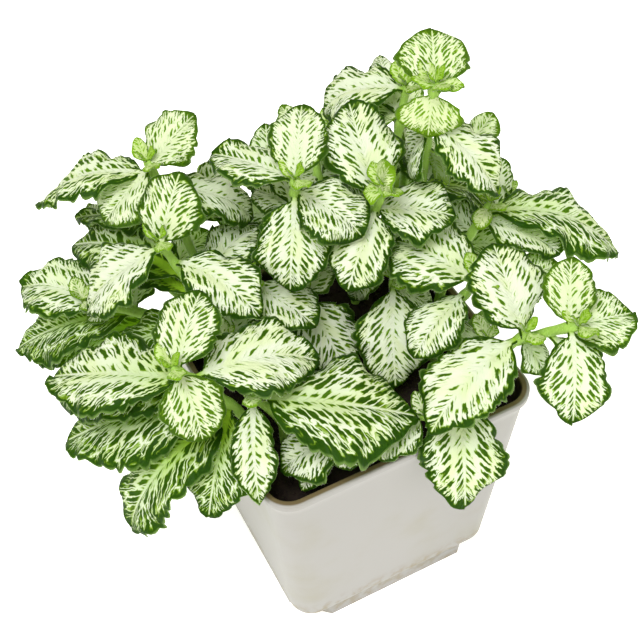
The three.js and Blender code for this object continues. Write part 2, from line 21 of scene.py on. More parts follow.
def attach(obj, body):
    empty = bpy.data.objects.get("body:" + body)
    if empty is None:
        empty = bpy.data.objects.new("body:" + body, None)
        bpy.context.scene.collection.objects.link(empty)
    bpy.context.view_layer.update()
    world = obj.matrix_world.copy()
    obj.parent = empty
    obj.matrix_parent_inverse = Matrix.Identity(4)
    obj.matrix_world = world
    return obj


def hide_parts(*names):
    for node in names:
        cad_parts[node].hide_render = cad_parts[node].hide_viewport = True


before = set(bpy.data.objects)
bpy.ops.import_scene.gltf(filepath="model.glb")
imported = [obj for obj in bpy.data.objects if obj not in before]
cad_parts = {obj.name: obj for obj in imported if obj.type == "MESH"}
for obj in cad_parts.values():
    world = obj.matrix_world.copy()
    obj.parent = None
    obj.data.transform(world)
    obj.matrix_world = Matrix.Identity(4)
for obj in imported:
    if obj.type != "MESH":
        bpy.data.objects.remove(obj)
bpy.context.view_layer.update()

log = logging.getLogger("nerve_plant")

MM = 0.001
BODY = "root"
TINY = 1e-9
FULL_TURN = 2 * math.pi
Array = np.ndarray
Row = tuple[float, float, float, float, float, float]
Draw = Callable[[float, float], float]
Ramp = tuple[float, float, float, float]
Noise = tuple[float, float]
Colour = tuple[float, float, float, float]
Wave = tuple[float, float]
Socket = bpy.types.NodeSocket
NodeForm = tuple[str, dict[str, str], tuple[int | str, ...], int | str | None]


# Shader nodes


def linear(hex_colour: str) -> Colour:
    """Turn an sRGB hex colour to the linear red, green, blue and alpha that shaders take.

    Args:
        hex_colour: an sRGB colour as six hex digits.

    Returns:
        The linear colour.
    """
    channels = [int(hex_colour[place : place + 2], 16) / 255 for place in (1, 3, 5)]
    red, green, blue = (c / 12.92 if c <= 0.04045 else ((c + 0.055) / 1.055) ** 2.4 for c in channels)
    return (red, green, blue, 1.0)


def point_value(name: str) -> NodeForm:
    """Describe a node that reads a named value of the mesh's points."""
    return ("ShaderNodeAttribute", {"attribute_name": name}, (), "Vector")


def part(axis: str) -> NodeForm:
    """Describe a node that takes one part out of a vector."""
    return ("ShaderNodeSeparateXYZ", {}, (0,), axis)


def maths(operation: str, inputs: int = 2) -> NodeForm:
    """Describe a node that works out one number."""
    return ("ShaderNodeMath", {"operation": operation}, tuple(range(inputs)), 0)


def noise(output: int) -> NodeForm:
    """Describe a node of noise, with one number as output 0 or a vector as output 1."""
    return ("ShaderNodeTexNoise", {}, ("Vector", "Scale", "Detail"), output)


class Node(Enum):
    """The shader nodes in use: Blender's name, settings, inputs in the order given, and output."""

    VEIN_PLACE = point_value("vein_place")
    LEAF_SPAN = point_value("leaf_span")
    LEAF_KIND = point_value("leaf_kind")
    POT_ZONE = point_value("pot_zone")
    OBJECT_PLACE = ("ShaderNodeTexCoord", {}, (), "Object")
    PART_X = part("X")
    PART_Y = part("Y")
    PART_Z = part("Z")
    JOIN = ("ShaderNodeCombineXYZ", {}, (0, 1, 2), 0)
    STRETCH = ("ShaderNodeVectorMath", {"operation": "MULTIPLY"}, (0, 1), 0)
    PLUS = maths("ADD")
    MINUS = maths("SUBTRACT")
    TIMES = maths("MULTIPLY")
    LARGER = maths("MAXIMUM")
    SIZE = maths("ABSOLUTE", 1)
    SIGN = maths("SIGN", 1)
    FRACTION = maths("FRACT", 1)
    RAMP = ("ShaderNodeMapRange", {"interpolation_type": "SMOOTHSTEP"}, (0, 1, 2, 3, 4), 0)
    BLEND = ("ShaderNodeMix", {"data_type": "RGBA"}, (0, 6, 7), 2)
    NOISE = noise(0)
    NOISE_VECTOR = noise(1)
    CELL_EDGE = (
        "ShaderNodeTexVoronoi",
        {"voronoi_dimensions": "2D", "feature": "DISTANCE_TO_EDGE"},
        ("Vector", "Scale", "Randomness"),
        "Distance",
    )
    BUMP = ("ShaderNodeBump", {}, ("Strength", "Distance", "Height"), 0)
    SURFACE = (
        "ShaderNodeBsdfPrincipled",
        {},
        ("Base Color", "Roughness", "IOR", "Specular IOR Level", "Normal"),
        0,
    )
    GLOW = ("ShaderNodeEmission", {}, ("Color", "Strength"), 0)
    THROUGH = ("ShaderNodeBsdfTranslucent", {}, ("Color", "Normal"), 0)
    ADD_SURFACES = ("ShaderNodeAddShader", {}, (0, 1), 0)
    MIX_SURFACES = ("ShaderNodeMixShader", {}, (0, 1, 2), 0)
    OUTPUT = ("ShaderNodeOutputMaterial", {}, ("Surface",), None)


def add_node(tree: bpy.types.NodeTree, kind: Node, *values: object) -> Socket | None:
    """Add a shader node.

    Args:
        tree: the node tree to add to.
        kind: the node's kind.
        values: an output socket or a plain value for each of the kind's inputs.

    Returns:
        The node's output.
    """
    name, settings, inputs, output = kind.value
    node = tree.nodes.new(name)
    for key, setting in settings.items():
        setattr(node, key, setting)
    for key, value in zip(inputs, values):
        if isinstance(value, Socket):
            tree.links.new(value, node.inputs[key])
        else:
            node.inputs[key].default_value = value
    return None if output is None else node.outputs[output]


class Signal:
    """What one node of a shader gives, with plain arithmetic on it."""

    def __init__(self, tree: bpy.types.NodeTree, kind: Node, *values: object) -> None:
        """Add the node.

        Args:
            tree: the node tree to add to.
            kind: the node's kind.
            values: a signal or a plain value for each of the kind's inputs.
        """
        self.tree = tree
        plain = [value.socket if isinstance(value, Signal) else value for value in values]
        self.socket = add_node(tree, kind, *plain)

    def then(self, kind: Node, *values: object) -> "Signal":
        """Add a node that takes this signal first."""
        return Signal(self.tree, kind, self, *values)

    def __add__(self, other: "Signal | float") -> "Signal":
        """Add another signal or a number."""
        return self.then(Node.PLUS, other)

    def __sub__(self, other: "Signal | float") -> "Signal":
        """Take another signal or a number away."""
        return self.then(Node.MINUS, other)

    def __mul__(self, other: "Signal | float") -> "Signal":
        """Multiply with another signal or a number."""
        return self.then(Node.TIMES, other)

    def ramp(self, ramp: Ramp) -> "Signal":
        """Run smoothly from the ramp's third value to its fourth between its first two."""
        return self.then(Node.RAMP, *ramp)

    def or_more(self, other: "Signal") -> "Signal":
        """Take the larger of two signals."""
        return self.then(Node.LARGER, other)

    def parts(self) -> list["Signal"]:
        """Split a vector into its three parts."""
        return [self.then(kind) for kind in (Node.PART_X, Node.PART_Y, Node.PART_Z)]


AddNode = Callable[..., Signal]


# Meshes


def smooth(low: float, high: float, value: Array) -> Array:
    """Rise smoothly from 0 at low to 1 at high."""
    share = np.clip((value - low) / (high - low), 0, 1)
    return share * share * (3 - 2 * share)


def unit(vectors: Array) -> Array:
    """Scale vectors to a length of one."""
    return vectors / np.maximum(np.linalg.norm(vectors, axis=-1, keepdims=True), TINY)


def link(piece: bpy.types.Object) -> bpy.types.Object:
    """Link an object to the scene."""
    bpy.context.scene.collection.objects.link(piece)
    return piece


@dataclass
class Patch:
    """Points, faces and named point values of a mesh that is being put together."""

    points: list[Array] = field(default_factory=list)
    faces: list[list[int]] = field(default_factory=list)
    values: dict[str, list[Array]] = field(default_factory=dict)
    count: int = 0

    def add(self, points: Array, faces: Array, **values: Array) -> None:
        """Add a piece of mesh.

        Args:
            points: places in millimetres, one row each.
            faces: corner numbers, three or four to a row.
            values: named vectors, one row to a point.
        """
        self.points.append(points)
        self.faces.extend((faces + self.count).tolist())
        for name, rows in values.items():
            self.values.setdefault(name, []).append(rows)
        self.count += len(points)

    def add_tube(
        self, rings: Sequence[Array], capped: bool = False, turned: bool = False, **values: Array
    ) -> None:
        """Add a tube through rings of points.

        Args:
            rings: the rings, with the same number of points each.
            capped: whether both ends are closed.
            turned: whether its faces look the other way.
            values: named vectors, one row to a point.
        """
        count = len(rings[0])
        first = self.count
        last = first + (len(rings) - 1) * count
        faces = grid_faces(len(rings), count, closed=True)
        self.add(np.concatenate(rings), faces[:, ::-1] if turned else faces, **values)
        if capped:
            self.faces.append(list(range(first, first + count))[::-1])
            self.faces.append(list(range(last, last + count)))

    def make(self, name: str, material: bpy.types.Material) -> bpy.types.Object:
        """Make the Blender object, smooth shaded and in metres.

        Args:
            name: the object's name.
            material: its only material.

        Returns:
            The object, linked to the scene.
        """
        mesh = bpy.data.meshes.new(name)
        mesh.from_pydata((np.concatenate(self.points) * MM).tolist(), [], self.faces)
        mesh.materials.append(material)
        mesh.shade_smooth()
        for key, parts in self.values.items():
            layer = mesh.attributes.new(key, "FLOAT_VECTOR", "POINT")
            layer.data.foreach_set("vector", np.concatenate(parts).astype(np.float32).ravel())
        return link(bpy.data.objects.new(name, mesh))


def place_on_frame(piece: bpy.types.Object, slot: str, *nodes: str) -> None:
    """Let a piece ride on the body, and stand for the nodes that it replaces.

    Args:
        piece: the visible piece.
        slot: the slot of its material; not used.
        *nodes: the solids that it stands for.
    """
    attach(piece, BODY)
    if nodes:
        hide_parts(*nodes)
    log.info("%s: %d faces", piece.name, len(piece.data.polygons))


def grid_faces(rows: int, columns: int, closed: bool = False) -> Array:
    """Quads of a grid of points that is stored row by row.

    Args:
        rows: rows of points.
        columns: points in a row.
        closed: whether each row is a ring.

    Returns:
        Four corner numbers to a row.
    """
    across = columns if closed else columns - 1
    row, column = np.meshgrid(np.arange(rows - 1), np.arange(across), indexing="ij")
    start = (row * columns + column).ravel()
    after = (row * columns + (column + 1) % columns).ravel()
    return np.stack([start, after, after + columns, start + columns], axis=1)


# Sizes that the pot, the soil and the shoots share

POT_HEIGHT = 90.0
RIM_HALF = 45.0
RIM_DEPTH = 2.0
RIM_FLARE = 5.0
RIM_INNER_HALF = 42.6
RIM_CORNER_RADIUS = 9.0
BODY_TOP_HALF = 43.8
BODY_BOTTOM_HALF = 37.2
BODY_CORNER_RADIUS = 8.0
WALL = 1.2
FOOT_HEIGHT = 7.0
FOOT_HALF = 36.2
FOOT_CORNER_CUT = 11.0
SOIL_TOP = 80.0
SOIL_GAP = 0.3
STEM_RADIUS = 1.6
STEM_FOOT = 64.0
STEM_LEAN_START = 88.0
STEM_LEAN_POWER = 1.4
BUD_LENGTH = 3.6

# Sizes of a leaf, as in the solid model

PETIOLE_SHARE = 0.11
PETIOLE_HALF_WIDTH = 1.1
BLADE_WIDENING = 1.18
OUTLINE_SCALE = 2.51
OUTLINE_POWER = 0.66
LOBE_DEPTH = 0.05
EDGE_RISE = 0.05
CROWN_SLOPE = 0.34
CROWN_FALL = 0.4
ROOT_SINK = 0.8
LONGEST_SWEEP = 16
LARGEST_ROLL = 9
FOLDS_FROM_LENGTH = ((45, 5), (30, 4), (16, 3), (0, 2))

# How old a leaf is by its length, its depth under the shoot's tip and its lowness on the plant

AGE_SHARES = (0.55, 0.35, 0.2)
YOUNGEST_LENGTH = 5
OLD_LENGTH_GAIN = 40
OLD_DEPTH = 22
LOW_FROM = 112
LOW_SPAN = 15

# How white a leaf is at each age, and the sides of a hair

AGES = (0.0, 0.08, 0.25, 0.62, 0.77, 0.92)
WHITENESS = (0.75, 1.0, 1.05, 1.0, 0.68, 0.48)
HAIR_FACES = np.array([(0, 1, 3), (1, 2, 3), (2, 0, 3)])

# The room that each leaf keeps from what has grown before it, and its ways to give way

CELL = 1.0
CELLS = (240, 240, 150)
CELLS_LOW = np.array([-120.0, -110.0, 40.0])
SAMPLES_ALONG = 28
SAMPLES_ACROSS = 14
OWN_SHOOT_REACH = 9.0
OWN_SHOOT_SHARE = 0.3
RIM_CLEARANCE = 1.3
SOIL_CLEARANCE = 2.6
STEM_ROOM = 1.2
STEM_ROOM_FOOT = SOIL_TOP - 6
PERCENTS = (100, 90, 80, 70)
TURNS = (0, 5, -5, 10, -10, 15, -15)
RAISES = (0, 3, -3, 6, -6, 9, -9, 12, -12, 15, -15, 18, -18, 21, -21, 25, -25, 30, -30)
PERCENT_COST = 9
TURN_COST = 12
RAISE_COST = 10

# Leaf pairs of the shoots that follow the plant's own rule, from the top pair down

PAIRS = 3
PAIR_DROP = 2
PAIR_SPACING = 7
PAIR_GROWTH = 8
PAIR_PITCH = 38
PAIR_PITCH_FALL = 24
SECOND_LEAF_FALL = 6
PAIR_DROOP = 25
PAIR_DROOP_GAIN = 10
LONGEST_BACK_LEAF = 36
BACK_LEAF_WIDTH_SHARE = 0.56


class Side(Enum):
    """Which side of the plant a shoot grows on: the front ones grow before the others."""

    FRONT = 0
    BACK = 1


@dataclass(frozen=True)
class ShootPlan:
    """Where a shoot stands and how its leaves want to grow.

    A leaf is (height on the stem, heading, pitch, length, width, droop). Heading is
    counter-clockwise from +X, pitch is that of the straight line from stem to tip, and droop is
    how far the rib turns down along its length.
    """

    name: str
    root: tuple[float, float]
    tip: tuple[float, float, float]
    leaves: tuple[Row, ...]
    side: Side = Side.FRONT

    @property
    def node(self) -> str:
        """Name of the solid model's node."""
        return f"shoot_{self.name}"

    def stem_at(self, height: Array | float) -> Array:
        """Points of the stem's axis at some heights: upright in the soil, then leaning to its tip.

        Args:
            height: heights above the table.

        Returns:
            A point for each height.
        """
        height = np.asarray(height, float)
        rise = np.maximum(0, (height - STEM_LEAN_START) / (self.tip[2] - STEM_LEAN_START))
        lean = rise**STEM_LEAN_POWER
        x = self.root[0] + (self.tip[0] - self.root[0]) * lean
        y = self.root[1] + (self.tip[1] - self.root[1]) * lean
        return np.stack([x, y, height], axis=-1)


def back_shoot(
    name: str, root: tuple[float, float], tip: tuple[float, float, float], turn: float, first: float = 20
) -> ShootPlan:
    """Plan a shoot of leaf pairs, each a quarter turn from the pair above it and larger.

    Args:
        name: the shoot's name.
        root: where it stands in the soil.
        tip: where its bud is.
        turn: heading of the top pair.
        first: length of a leaf of the top pair.

    Returns:
        The plan.
    """
    rows = []
    for pair in range(PAIRS):
        height = tip[2] - PAIR_DROP - PAIR_SPACING * pair
        length = min(first + PAIR_GROWTH * pair, LONGEST_BACK_LEAF)
        droop = PAIR_DROOP + PAIR_DROOP_GAIN * pair
        for half in (0, 180):
            heading = turn + 90 * pair + half
            pitch = PAIR_PITCH - PAIR_PITCH_FALL * pair - (SECOND_LEAF_FALL if half else 0)
            rows.append((height, heading, pitch, length, length * BACK_LEAF_WIDTH_SHARE, droop))
    return ShootPlan(name, root, tip, tuple(rows), Side.BACK)


PLANS = (
    ShootPlan("left_back", (-27, 38), (-35, 56, 141), (
        (139, 11, 31, 22, 17, 25), (139, -171, -33, 23, 17, 40), (136, 140, -28, 48, 20, 85),
        (133, -28, -24, 33, 17, 45), (121, 33, 11, 36, 8, 30), (120, 131, -17, 42, 10, 35),
    )),
    ShootPlan("left_middle", (-31, 20), (-42, 34, 130), (
        (128, 34, 31, 24, 18, 25), (128, 170, -32, 35, 21, 45), (122, -60, -20, 34, 17, 75),
        (115, 123, -12, 54, 19, 40), (112, 26, 0, 37, 16, 45), (108, 132, -17, 54, 11, 40),
        (101, 168, -6, 36, 17, 30),
    )),
    ShootPlan("left_far", (-38, 33), (-66, 47, 104), (
        (101, 129, -6, 37, 20, 35), (97, 150, -23, 50, 22, 45), (92, 158, -19, 50, 16, 40),
        (101, 172, -30, 10, 7, 30), (98, 55, 4, 26, 10, 40),
    )),
    ShootPlan("front_left", (-37, -12), (-56, -7, 123), (
        (121, 45, 29, 25, 16, 25), (121, -94, -36, 22, 16, 40), (116, 135, -18, 51, 23, 40),
        (116, -3, -10, 41, 22, 40), (102, 150, -20, 58, 28, 35), (101, -133, -36, 35, 20, 50),
        (98, -177, -26, 56, 23, 95), (109, 140, -17, 56, 18, 40), (108, 157, -26, 23, 11, 40),
    )),
    ShootPlan("front_middle", (-28, -16), (-38, -15, 109), (
        (106, -30, -9, 50, 32, 35), (106, -114, -26, 32, 11, 35),
    )),
    ShootPlan("inner_left", (-22, 12), (-33, 11, 103), (
        (101, 51, 3, 20, 11, 30), (101, 142, -18, 13, 9, 30),
    )),
    ShootPlan("centre_left", (-12, 24), (-19, 23, 112), (
        (109, -66, -13, 27, 19, 35), (109, 93, 6, 28, 10, 30),
    )),
    ShootPlan("centre_back", (2, 36), (-2, 21, 147), (
        (145, 122, -4, 31, 18, 35), (145, 56, 32, 25, 15, 25), (139, -54, -11, 26, 20, 45),
        (139, -124, -42, 31, 19, 45), (128, 109, -19, 19, 11, 40), (128, 82, 12, 28, 8, 30),
    )),
    ShootPlan("centre", (18, 24), (21, 9, 143), (
        (141, -8, 75, 10, 12, 20), (141, 146, -8, 7, 7, 20), (136, 82, 26, 32, 21, 25),
        (131, -129, -35, 29, 16, 50), (130, -37, -4, 26, 20, 40), (128, 136, -48, 19, 21, 40),
        (120, -157, -52, 29, 13, 40), (121, -54, -24, 23, 13, 40),
    )),
    ShootPlan("centre_front", (-1, 16), (-4, 17, 102), (
        (100, -82, -37, 28, 19, 45), (101, 28, 12, 15, 10, 40),
    )),
    ShootPlan("centre_right", (22, 4), (20, 2, 111), (
        (108, -117, -37, 34, 19, 45), (106, -42, -8, 15, 12, 30),
    )),
    ShootPlan("back_right_arch", (34, 34), (46, 40, 149), (
        (147, 143, -21, 33, 19, 75), (136, 98, 3, 36, 12, 40), (137, 77, 9, 31, 10, 40),
        (140, 114, -26, 9, 13, 30),
    )),
    ShootPlan("right_tall", (38, 20), (41, 16, 168), (
        (165, 62, 31, 20, 18, 25), (165, -132, -61, 14, 16, 40), (167, 147, 22, 8, 5, 20),
        (167, -52, 12, 10, 6, 20), (154, -64, -26, 32, 17, 60), (150, 148, -58, 17, 20, 40),
        (145, 4, -70, 18, 14, 40), (128, -33, -26, 28, 15, 40),
    )),
    ShootPlan("right_front", (28, -10), (37, -20, 123), (
        (121, 116, 2, 31, 23, 35), (121, -35, -5, 11, 7, 30), (114, -155, -21, 28, 15, 45),
    )),
    ShootPlan("right_inner", (32, -22), (36, -28, 104), (
        (102, 151, -6, 19, 20, 40), (98, -161, -22, 19, 12, 40),
    )),
    ShootPlan("right_middle", (38, -12), (49, -25, 115), (
        (112, 11, 5, 21, 17, 35),
    )),
    ShootPlan("right_far", (36, -24), (53, -47, 120), (
        (118, 59, 38, 21, 13, 25), (118, -117, -45, 29, 17, 45), (116, -14, -5, 23, 19, 30),
        (113, -54, -50, 31, 10, 40), (106, -74, -37, 14, 9, 35),
    )),
    ShootPlan("right_corner", (34, -30), (42, -38, 114), (
        (112, 85, 38, 30, 20, 40), (110, -161, -10, 42, 20, 45),
    )),
    ShootPlan("front_right", (22, -30), (20, -41, 100), (
        (97, -116, -43, 36, 21, 70),
    )),
    ShootPlan("right_back", (38, 4), (54, 2, 127), (
        (125, -141, 5, 11, 5, 20), (122, -27, -25, 54, 24, 90), (121, -53, -11, 28, 14, 30),
        (116, 113, 7, 17, 13, 40),
    )),
    ShootPlan("front_edge_right", (6, -30), (8, -40, 97), (
        (95, -166, -5, 26, 16, 45), (94, 10, 0, 14, 10, 45),
    )),
    ShootPlan("front_edge", (-14, -28), (-18, -34, 99), (
        (96, 176, -19, 22, 18, 35), (96, -104, -18, 14, 10, 40), (93, -152, -5, 22, 8, 30),
    )),
    back_shoot("back_left", (-12, 38), (-14, 62, 116), turn=20),
    back_shoot("back_middle", (7, 38), (8, 70, 108), turn=65),
    back_shoot("back_centre", (14, 38), (22, 58, 122), turn=110),
    back_shoot("back_right", (26, 38), (36, 72, 112), turn=30),
    back_shoot("back_far_right", (37.5, 30.5), (60, 60, 116), turn=75),
    back_shoot("side_right", (38, 26), (66, 36, 116), turn=10),
    back_shoot("side_far_right", (37, 14), (74, 20, 106), turn=60, first=18),
    back_shoot("back_far_left", (-33, 37), (-50, 76, 104), turn=120, first=18),
)


# Leaves


def along_blade(share: Array) -> Array:
    """Turn a share of the rib's length to a share of the blade's, 0 on the petiole."""
    return np.clip((share - PETIOLE_SHARE) / (1 - PETIOLE_SHARE), 0, 1)


def swell_at(along: Array) -> Array:
    """Width of the blade's outline at a share of its length, 1 at its widest."""
    return OUTLINE_SCALE * along**OUTLINE_POWER * (1 - along) ** OUTLINE_POWER


def arc(start: float, turn: float, share: Array) -> Array:
    """Integrate exp(i * (start + turn * t)) for t from 0 to share."""
    half = turn * share / 2
    return share * np.exp(1j * (start + half)) * np.sinc(half / math.pi)


@dataclass
class Leaf:
    """A grown leaf: its rib is an arc that droops along its length and sweeps to one side."""

    base: Array
    heading: float
    pitch: float
    length: float
    width: float
    droop: float
    sweep: float
    roll: float
    mirror: int
    folds: int
    number: int

    def rib(self, share: Array) -> Array:
        """Points of the rib at shares of its length.

        Args:
            share: 0 at the stem to 1 at the tip.

        Returns:
            A point for each share.
        """
        slope = self.pitch + self.droop / 2
        bearing = self.heading - self.sweep / 2
        rise = arc(slope, -self.droop, share).imag
        level = arc(bearing + slope, self.sweep - self.droop, share)
        level = (level + arc(bearing - slope, self.sweep + self.droop, share)) / 2
        return self.base + self.length * np.stack([level.real, level.imag, rise], axis=-1)

    def frame(self, share: Array) -> tuple[Array, Array]:
        """Directions across the leaf and out of its upper face, at shares of the rib's length.

        Args:
            share: 0 at the stem to 1 at the tip.

        Returns:
            The two unit directions for each share.
        """
        slope = self.pitch + self.droop * (0.5 - share)
        bearing = self.heading + self.sweep * (share - 0.5)
        level = np.stack([-np.sin(bearing), np.cos(bearing), 0 * bearing], axis=-1)
        out_x = -np.sin(slope) * np.cos(bearing)
        out_y = -np.sin(slope) * np.sin(bearing)
        out = np.stack([out_x, out_y, np.cos(slope)], axis=-1)
        across = level * math.cos(self.roll) + out * math.sin(self.roll)
        up = out * math.cos(self.roll) - level * math.sin(self.roll)
        return across, up

    def half_width(self, share: Array) -> Array:
        """Half the blade's width, before its lobes."""
        return np.maximum(self.width / 2 * swell_at(along_blade(share)), PETIOLE_HALF_WIDTH)

    def surface(self, share: Array, side: Array) -> Array:
        """Points of the blade's middle surface, as the solid model has it.

        Args:
            share: 0 at the stem to 1 at the tip.
            side: -1 at one edge to 1 at the other.

        Returns:
            A point for each pair of values.
        """
        along = along_blade(share)
        half_width = self.half_width(share)
        fold = np.where(side > 0, 1, self.mirror) * np.sin(math.pi * self.folds * along)
        offset = side * half_width * (1 + LOBE_DEPTH * fold)
        blend = np.minimum(1, 4 * along)
        reach = np.abs(side)
        crown = half_width * (CROWN_SLOPE * reach - CROWN_FALL * reach * reach) * blend
        wave = EDGE_RISE * self.width * reach**3 * fold * blend * np.minimum(1, 4 * (1 - along))
        across, up = self.frame(share)
        return self.rib(share) + across * offset[..., None] + up * (crown + wave)[..., None]


# Growing: every leaf takes the pose nearest its natural one that touches nothing


def draws_from(seed: int, skipped: int = 0) -> Draw:
    """Return a seeded draw between two values, the same on every run.

    Args:
        seed: its first state.
        skipped: number of draws to leave out at its start.

    Returns:
        A function of the two bounds.
    """
    state = seed

    def draw(low: float, high: float) -> float:
        """Draw the next value between two bounds.

        Args:
            low: the lower bound.
            high: the upper bound.

        Returns:
            The value.
        """
        nonlocal state
        state = state * 16807 % 2147483647
        return low + (high - low) * state / 2147483647

    for _ in range(skipped):
        draw(0, 1)
    return draw


class TakenSpace:
    """The space that stems and leaves have taken, as cells that hold their shoot's number."""

    def __init__(self) -> None:
        """Start with every cell free."""
        self.owner = np.zeros(CELLS, np.uint8)
        steps = (-1, 0, 1)
        self.around = np.array([(x, y, z) for x in steps for y in steps for z in steps])

    def cells_of(self, points: Array) -> Array:
        """Cell numbers of points."""
        return np.floor((points - CELLS_LOW) / CELL).astype(int)

    def owners(self, points: Array) -> Array:
        """The owner of each point's cell, 0 where it is free."""
        return self.owner[tuple(self.cells_of(points).T)]

    def take(self, points: Array, owner: int) -> None:
        """Take the free cells round the points. The first to take a cell keeps it.

        Args:
            points: points of a stem or a leaf.
            owner: number of its shoot.
        """
        cells = (self.cells_of(points)[:, None, :] + self.around[None]).reshape(-1, 3)
        free = cells[self.owner[tuple(cells.T)] == 0]
        self.owner[tuple(free.T)] = owner


def in_pot_or_soil(points: Array) -> Array:
    """True where a point would be in the pot's wall or rim, or in the soil.

    Args:
        points: points of a leaf.

    Returns:
        A truth value for each point.
    """
    reach = np.maximum(np.abs(points[:, 0]), np.abs(points[:, 1]))
    over_soil = points[:, 2] > SOIL_TOP + SOIL_CLEARANCE
    over_rim = points[:, 2] > POT_HEIGHT + RIM_CLEARANCE
    inside = reach < RIM_INNER_HALF - RIM_CLEARANCE
    blocked = ~over_soil | (~inside & ~over_rim)
    return blocked & (reach <= RIM_HALF + RIM_CLEARANCE)


def ways_to_give() -> list[tuple[float, int, int]]:
    """Ways for a leaf to give way, the least first: scale, turn aside, and raise.

    Returns:
        The scale, the turn and the raise of each way.
    """
    ways = []
    for percent in PERCENTS:
        for turn in TURNS:
            for lift in RAISES:
                cost = RAISE_COST * abs(lift) + TURN_COST * abs(turn) + PERCENT_COST * (100 - percent)
                ways.append((cost, percent / 100, turn, lift))
    ways.sort(key=lambda way: way[0])
    return [way[1:] for way in ways]


def leaf_from(plan: ShootPlan, row: Row, way: tuple[float, int, int], number: int) -> Leaf:
    """Set one leaf of a plan in one of the ways that it can grow.

    Args:
        plan: the shoot's plan.
        row: the leaf's row in it.
        way: scale, turn and raise.
        number: the leaf's place in the order of growth, which seeds its sweep and roll.

    Returns:
        The leaf.
    """
    height, heading, pitch, length, width, droop = row
    scale, turn, lift = way
    draw = draws_from(1000 + 37 * number, skipped=3)
    bearing = math.radians(heading + turn)
    back = np.array([math.cos(bearing), math.sin(bearing), 0]) * -ROOT_SINK
    return Leaf(
        base=plan.stem_at(height) + back,
        heading=bearing,
        pitch=math.radians(pitch + lift),
        length=length * scale,
        width=width * scale * BLADE_WIDENING,
        droop=math.radians(droop),
        sweep=math.radians(draw(-LONGEST_SWEEP, LONGEST_SWEEP)),
        roll=math.radians(draw(-LARGEST_ROLL, LARGEST_ROLL)),
        mirror=1 if number % 2 == 0 else -1,
        folds=next(folds for least, folds in FOLDS_FROM_LENGTH if length >= least),
        number=number,
    )


def grow_leaves(plans: Sequence[ShootPlan]) -> list[list[Leaf]]:
    """Grow the leaves of every shoot that find room, the front shoots and upper pairs first.

    Args:
        plans: the shoots.

    Returns:
        The leaves of each shoot.
    """
    taken = TakenSpace()
    for owner, plan in enumerate(plans, start=1):
        heights = np.arange(STEM_ROOM_FOOT, plan.tip[2] + BUD_LENGTH, STEM_ROOM)
        for turn in (0, 90, 180, 270):
            way = np.array([math.cos(math.radians(turn)), math.sin(math.radians(turn)), 0])
            taken.take(plan.stem_at(heights) + STEM_ROOM * way, owner)
    queue = [
        (plan.side.value, place // 2, -row[0], owner, plan, row)
        for owner, plan in enumerate(plans, start=1)
        for place, row in enumerate(plan.leaves)
    ]
    queue.sort(key=lambda entry: entry[:3])
    share, side = np.meshgrid(
        np.arange(SAMPLES_ALONG + 1) / SAMPLES_ALONG,
        2 * np.arange(SAMPLES_ACROSS + 1) / SAMPLES_ACROSS - 1,
        indexing="ij",
    )
    ways = ways_to_give()
    grown: list[list[Leaf]] = [[] for _ in plans]
    for number, (_, _, _, owner, plan, row) in enumerate(queue):
        for way in ways:
            leaf = leaf_from(plan, row, way, number)
            points = leaf.surface(share, side).reshape(-1, 3)
            own_reach = max(OWN_SHOOT_REACH, OWN_SHOOT_SHARE * leaf.length)
            near_stem = (share * leaf.length < own_reach).ravel()
            owners = taken.owners(points)
            meets_other = (owners != 0) & (owners != owner)
            meets_own = (owners == owner) & ~near_stem
            if not np.any(meets_other | meets_own | in_pot_or_soil(points)):
                taken.take(points, owner)
                grown[owner - 1].append(leaf)
                break
    return grown


# Finishes


@dataclass(frozen=True)
class Finish:
    """A finish: a named material whose surface a subclass describes.

    A noise is its scale, per millimetre in a leaf and per metre elsewhere, and its detail.
    """

    name = "finish"
    roughness: float = 0.5
    ior: float = 1.45
    specular: float = 0.3

    def surface(self, add: AddNode) -> Signal:
        """Add the nodes of the surface and return its shader."""
        raise NotImplementedError

    def skin(self, add: AddNode, colour: Signal | Colour, *bump: Signal) -> Signal:
        """Add the shader of the finish's skin, with a bump where it has one."""
        return add(Node.SURFACE, colour, self.roughness, self.ior, self.specular, *bump)

    def make(self) -> bpy.types.Material:
        """Make the material.

        Returns:
            The material.
        """
        material = bpy.data.materials.new(self.name)
        material.use_nodes = True
        material.node_tree.nodes.clear()
        add = partial(Signal, material.node_tree)
        add(Node.OUTPUT, self.surface(add))
        return material


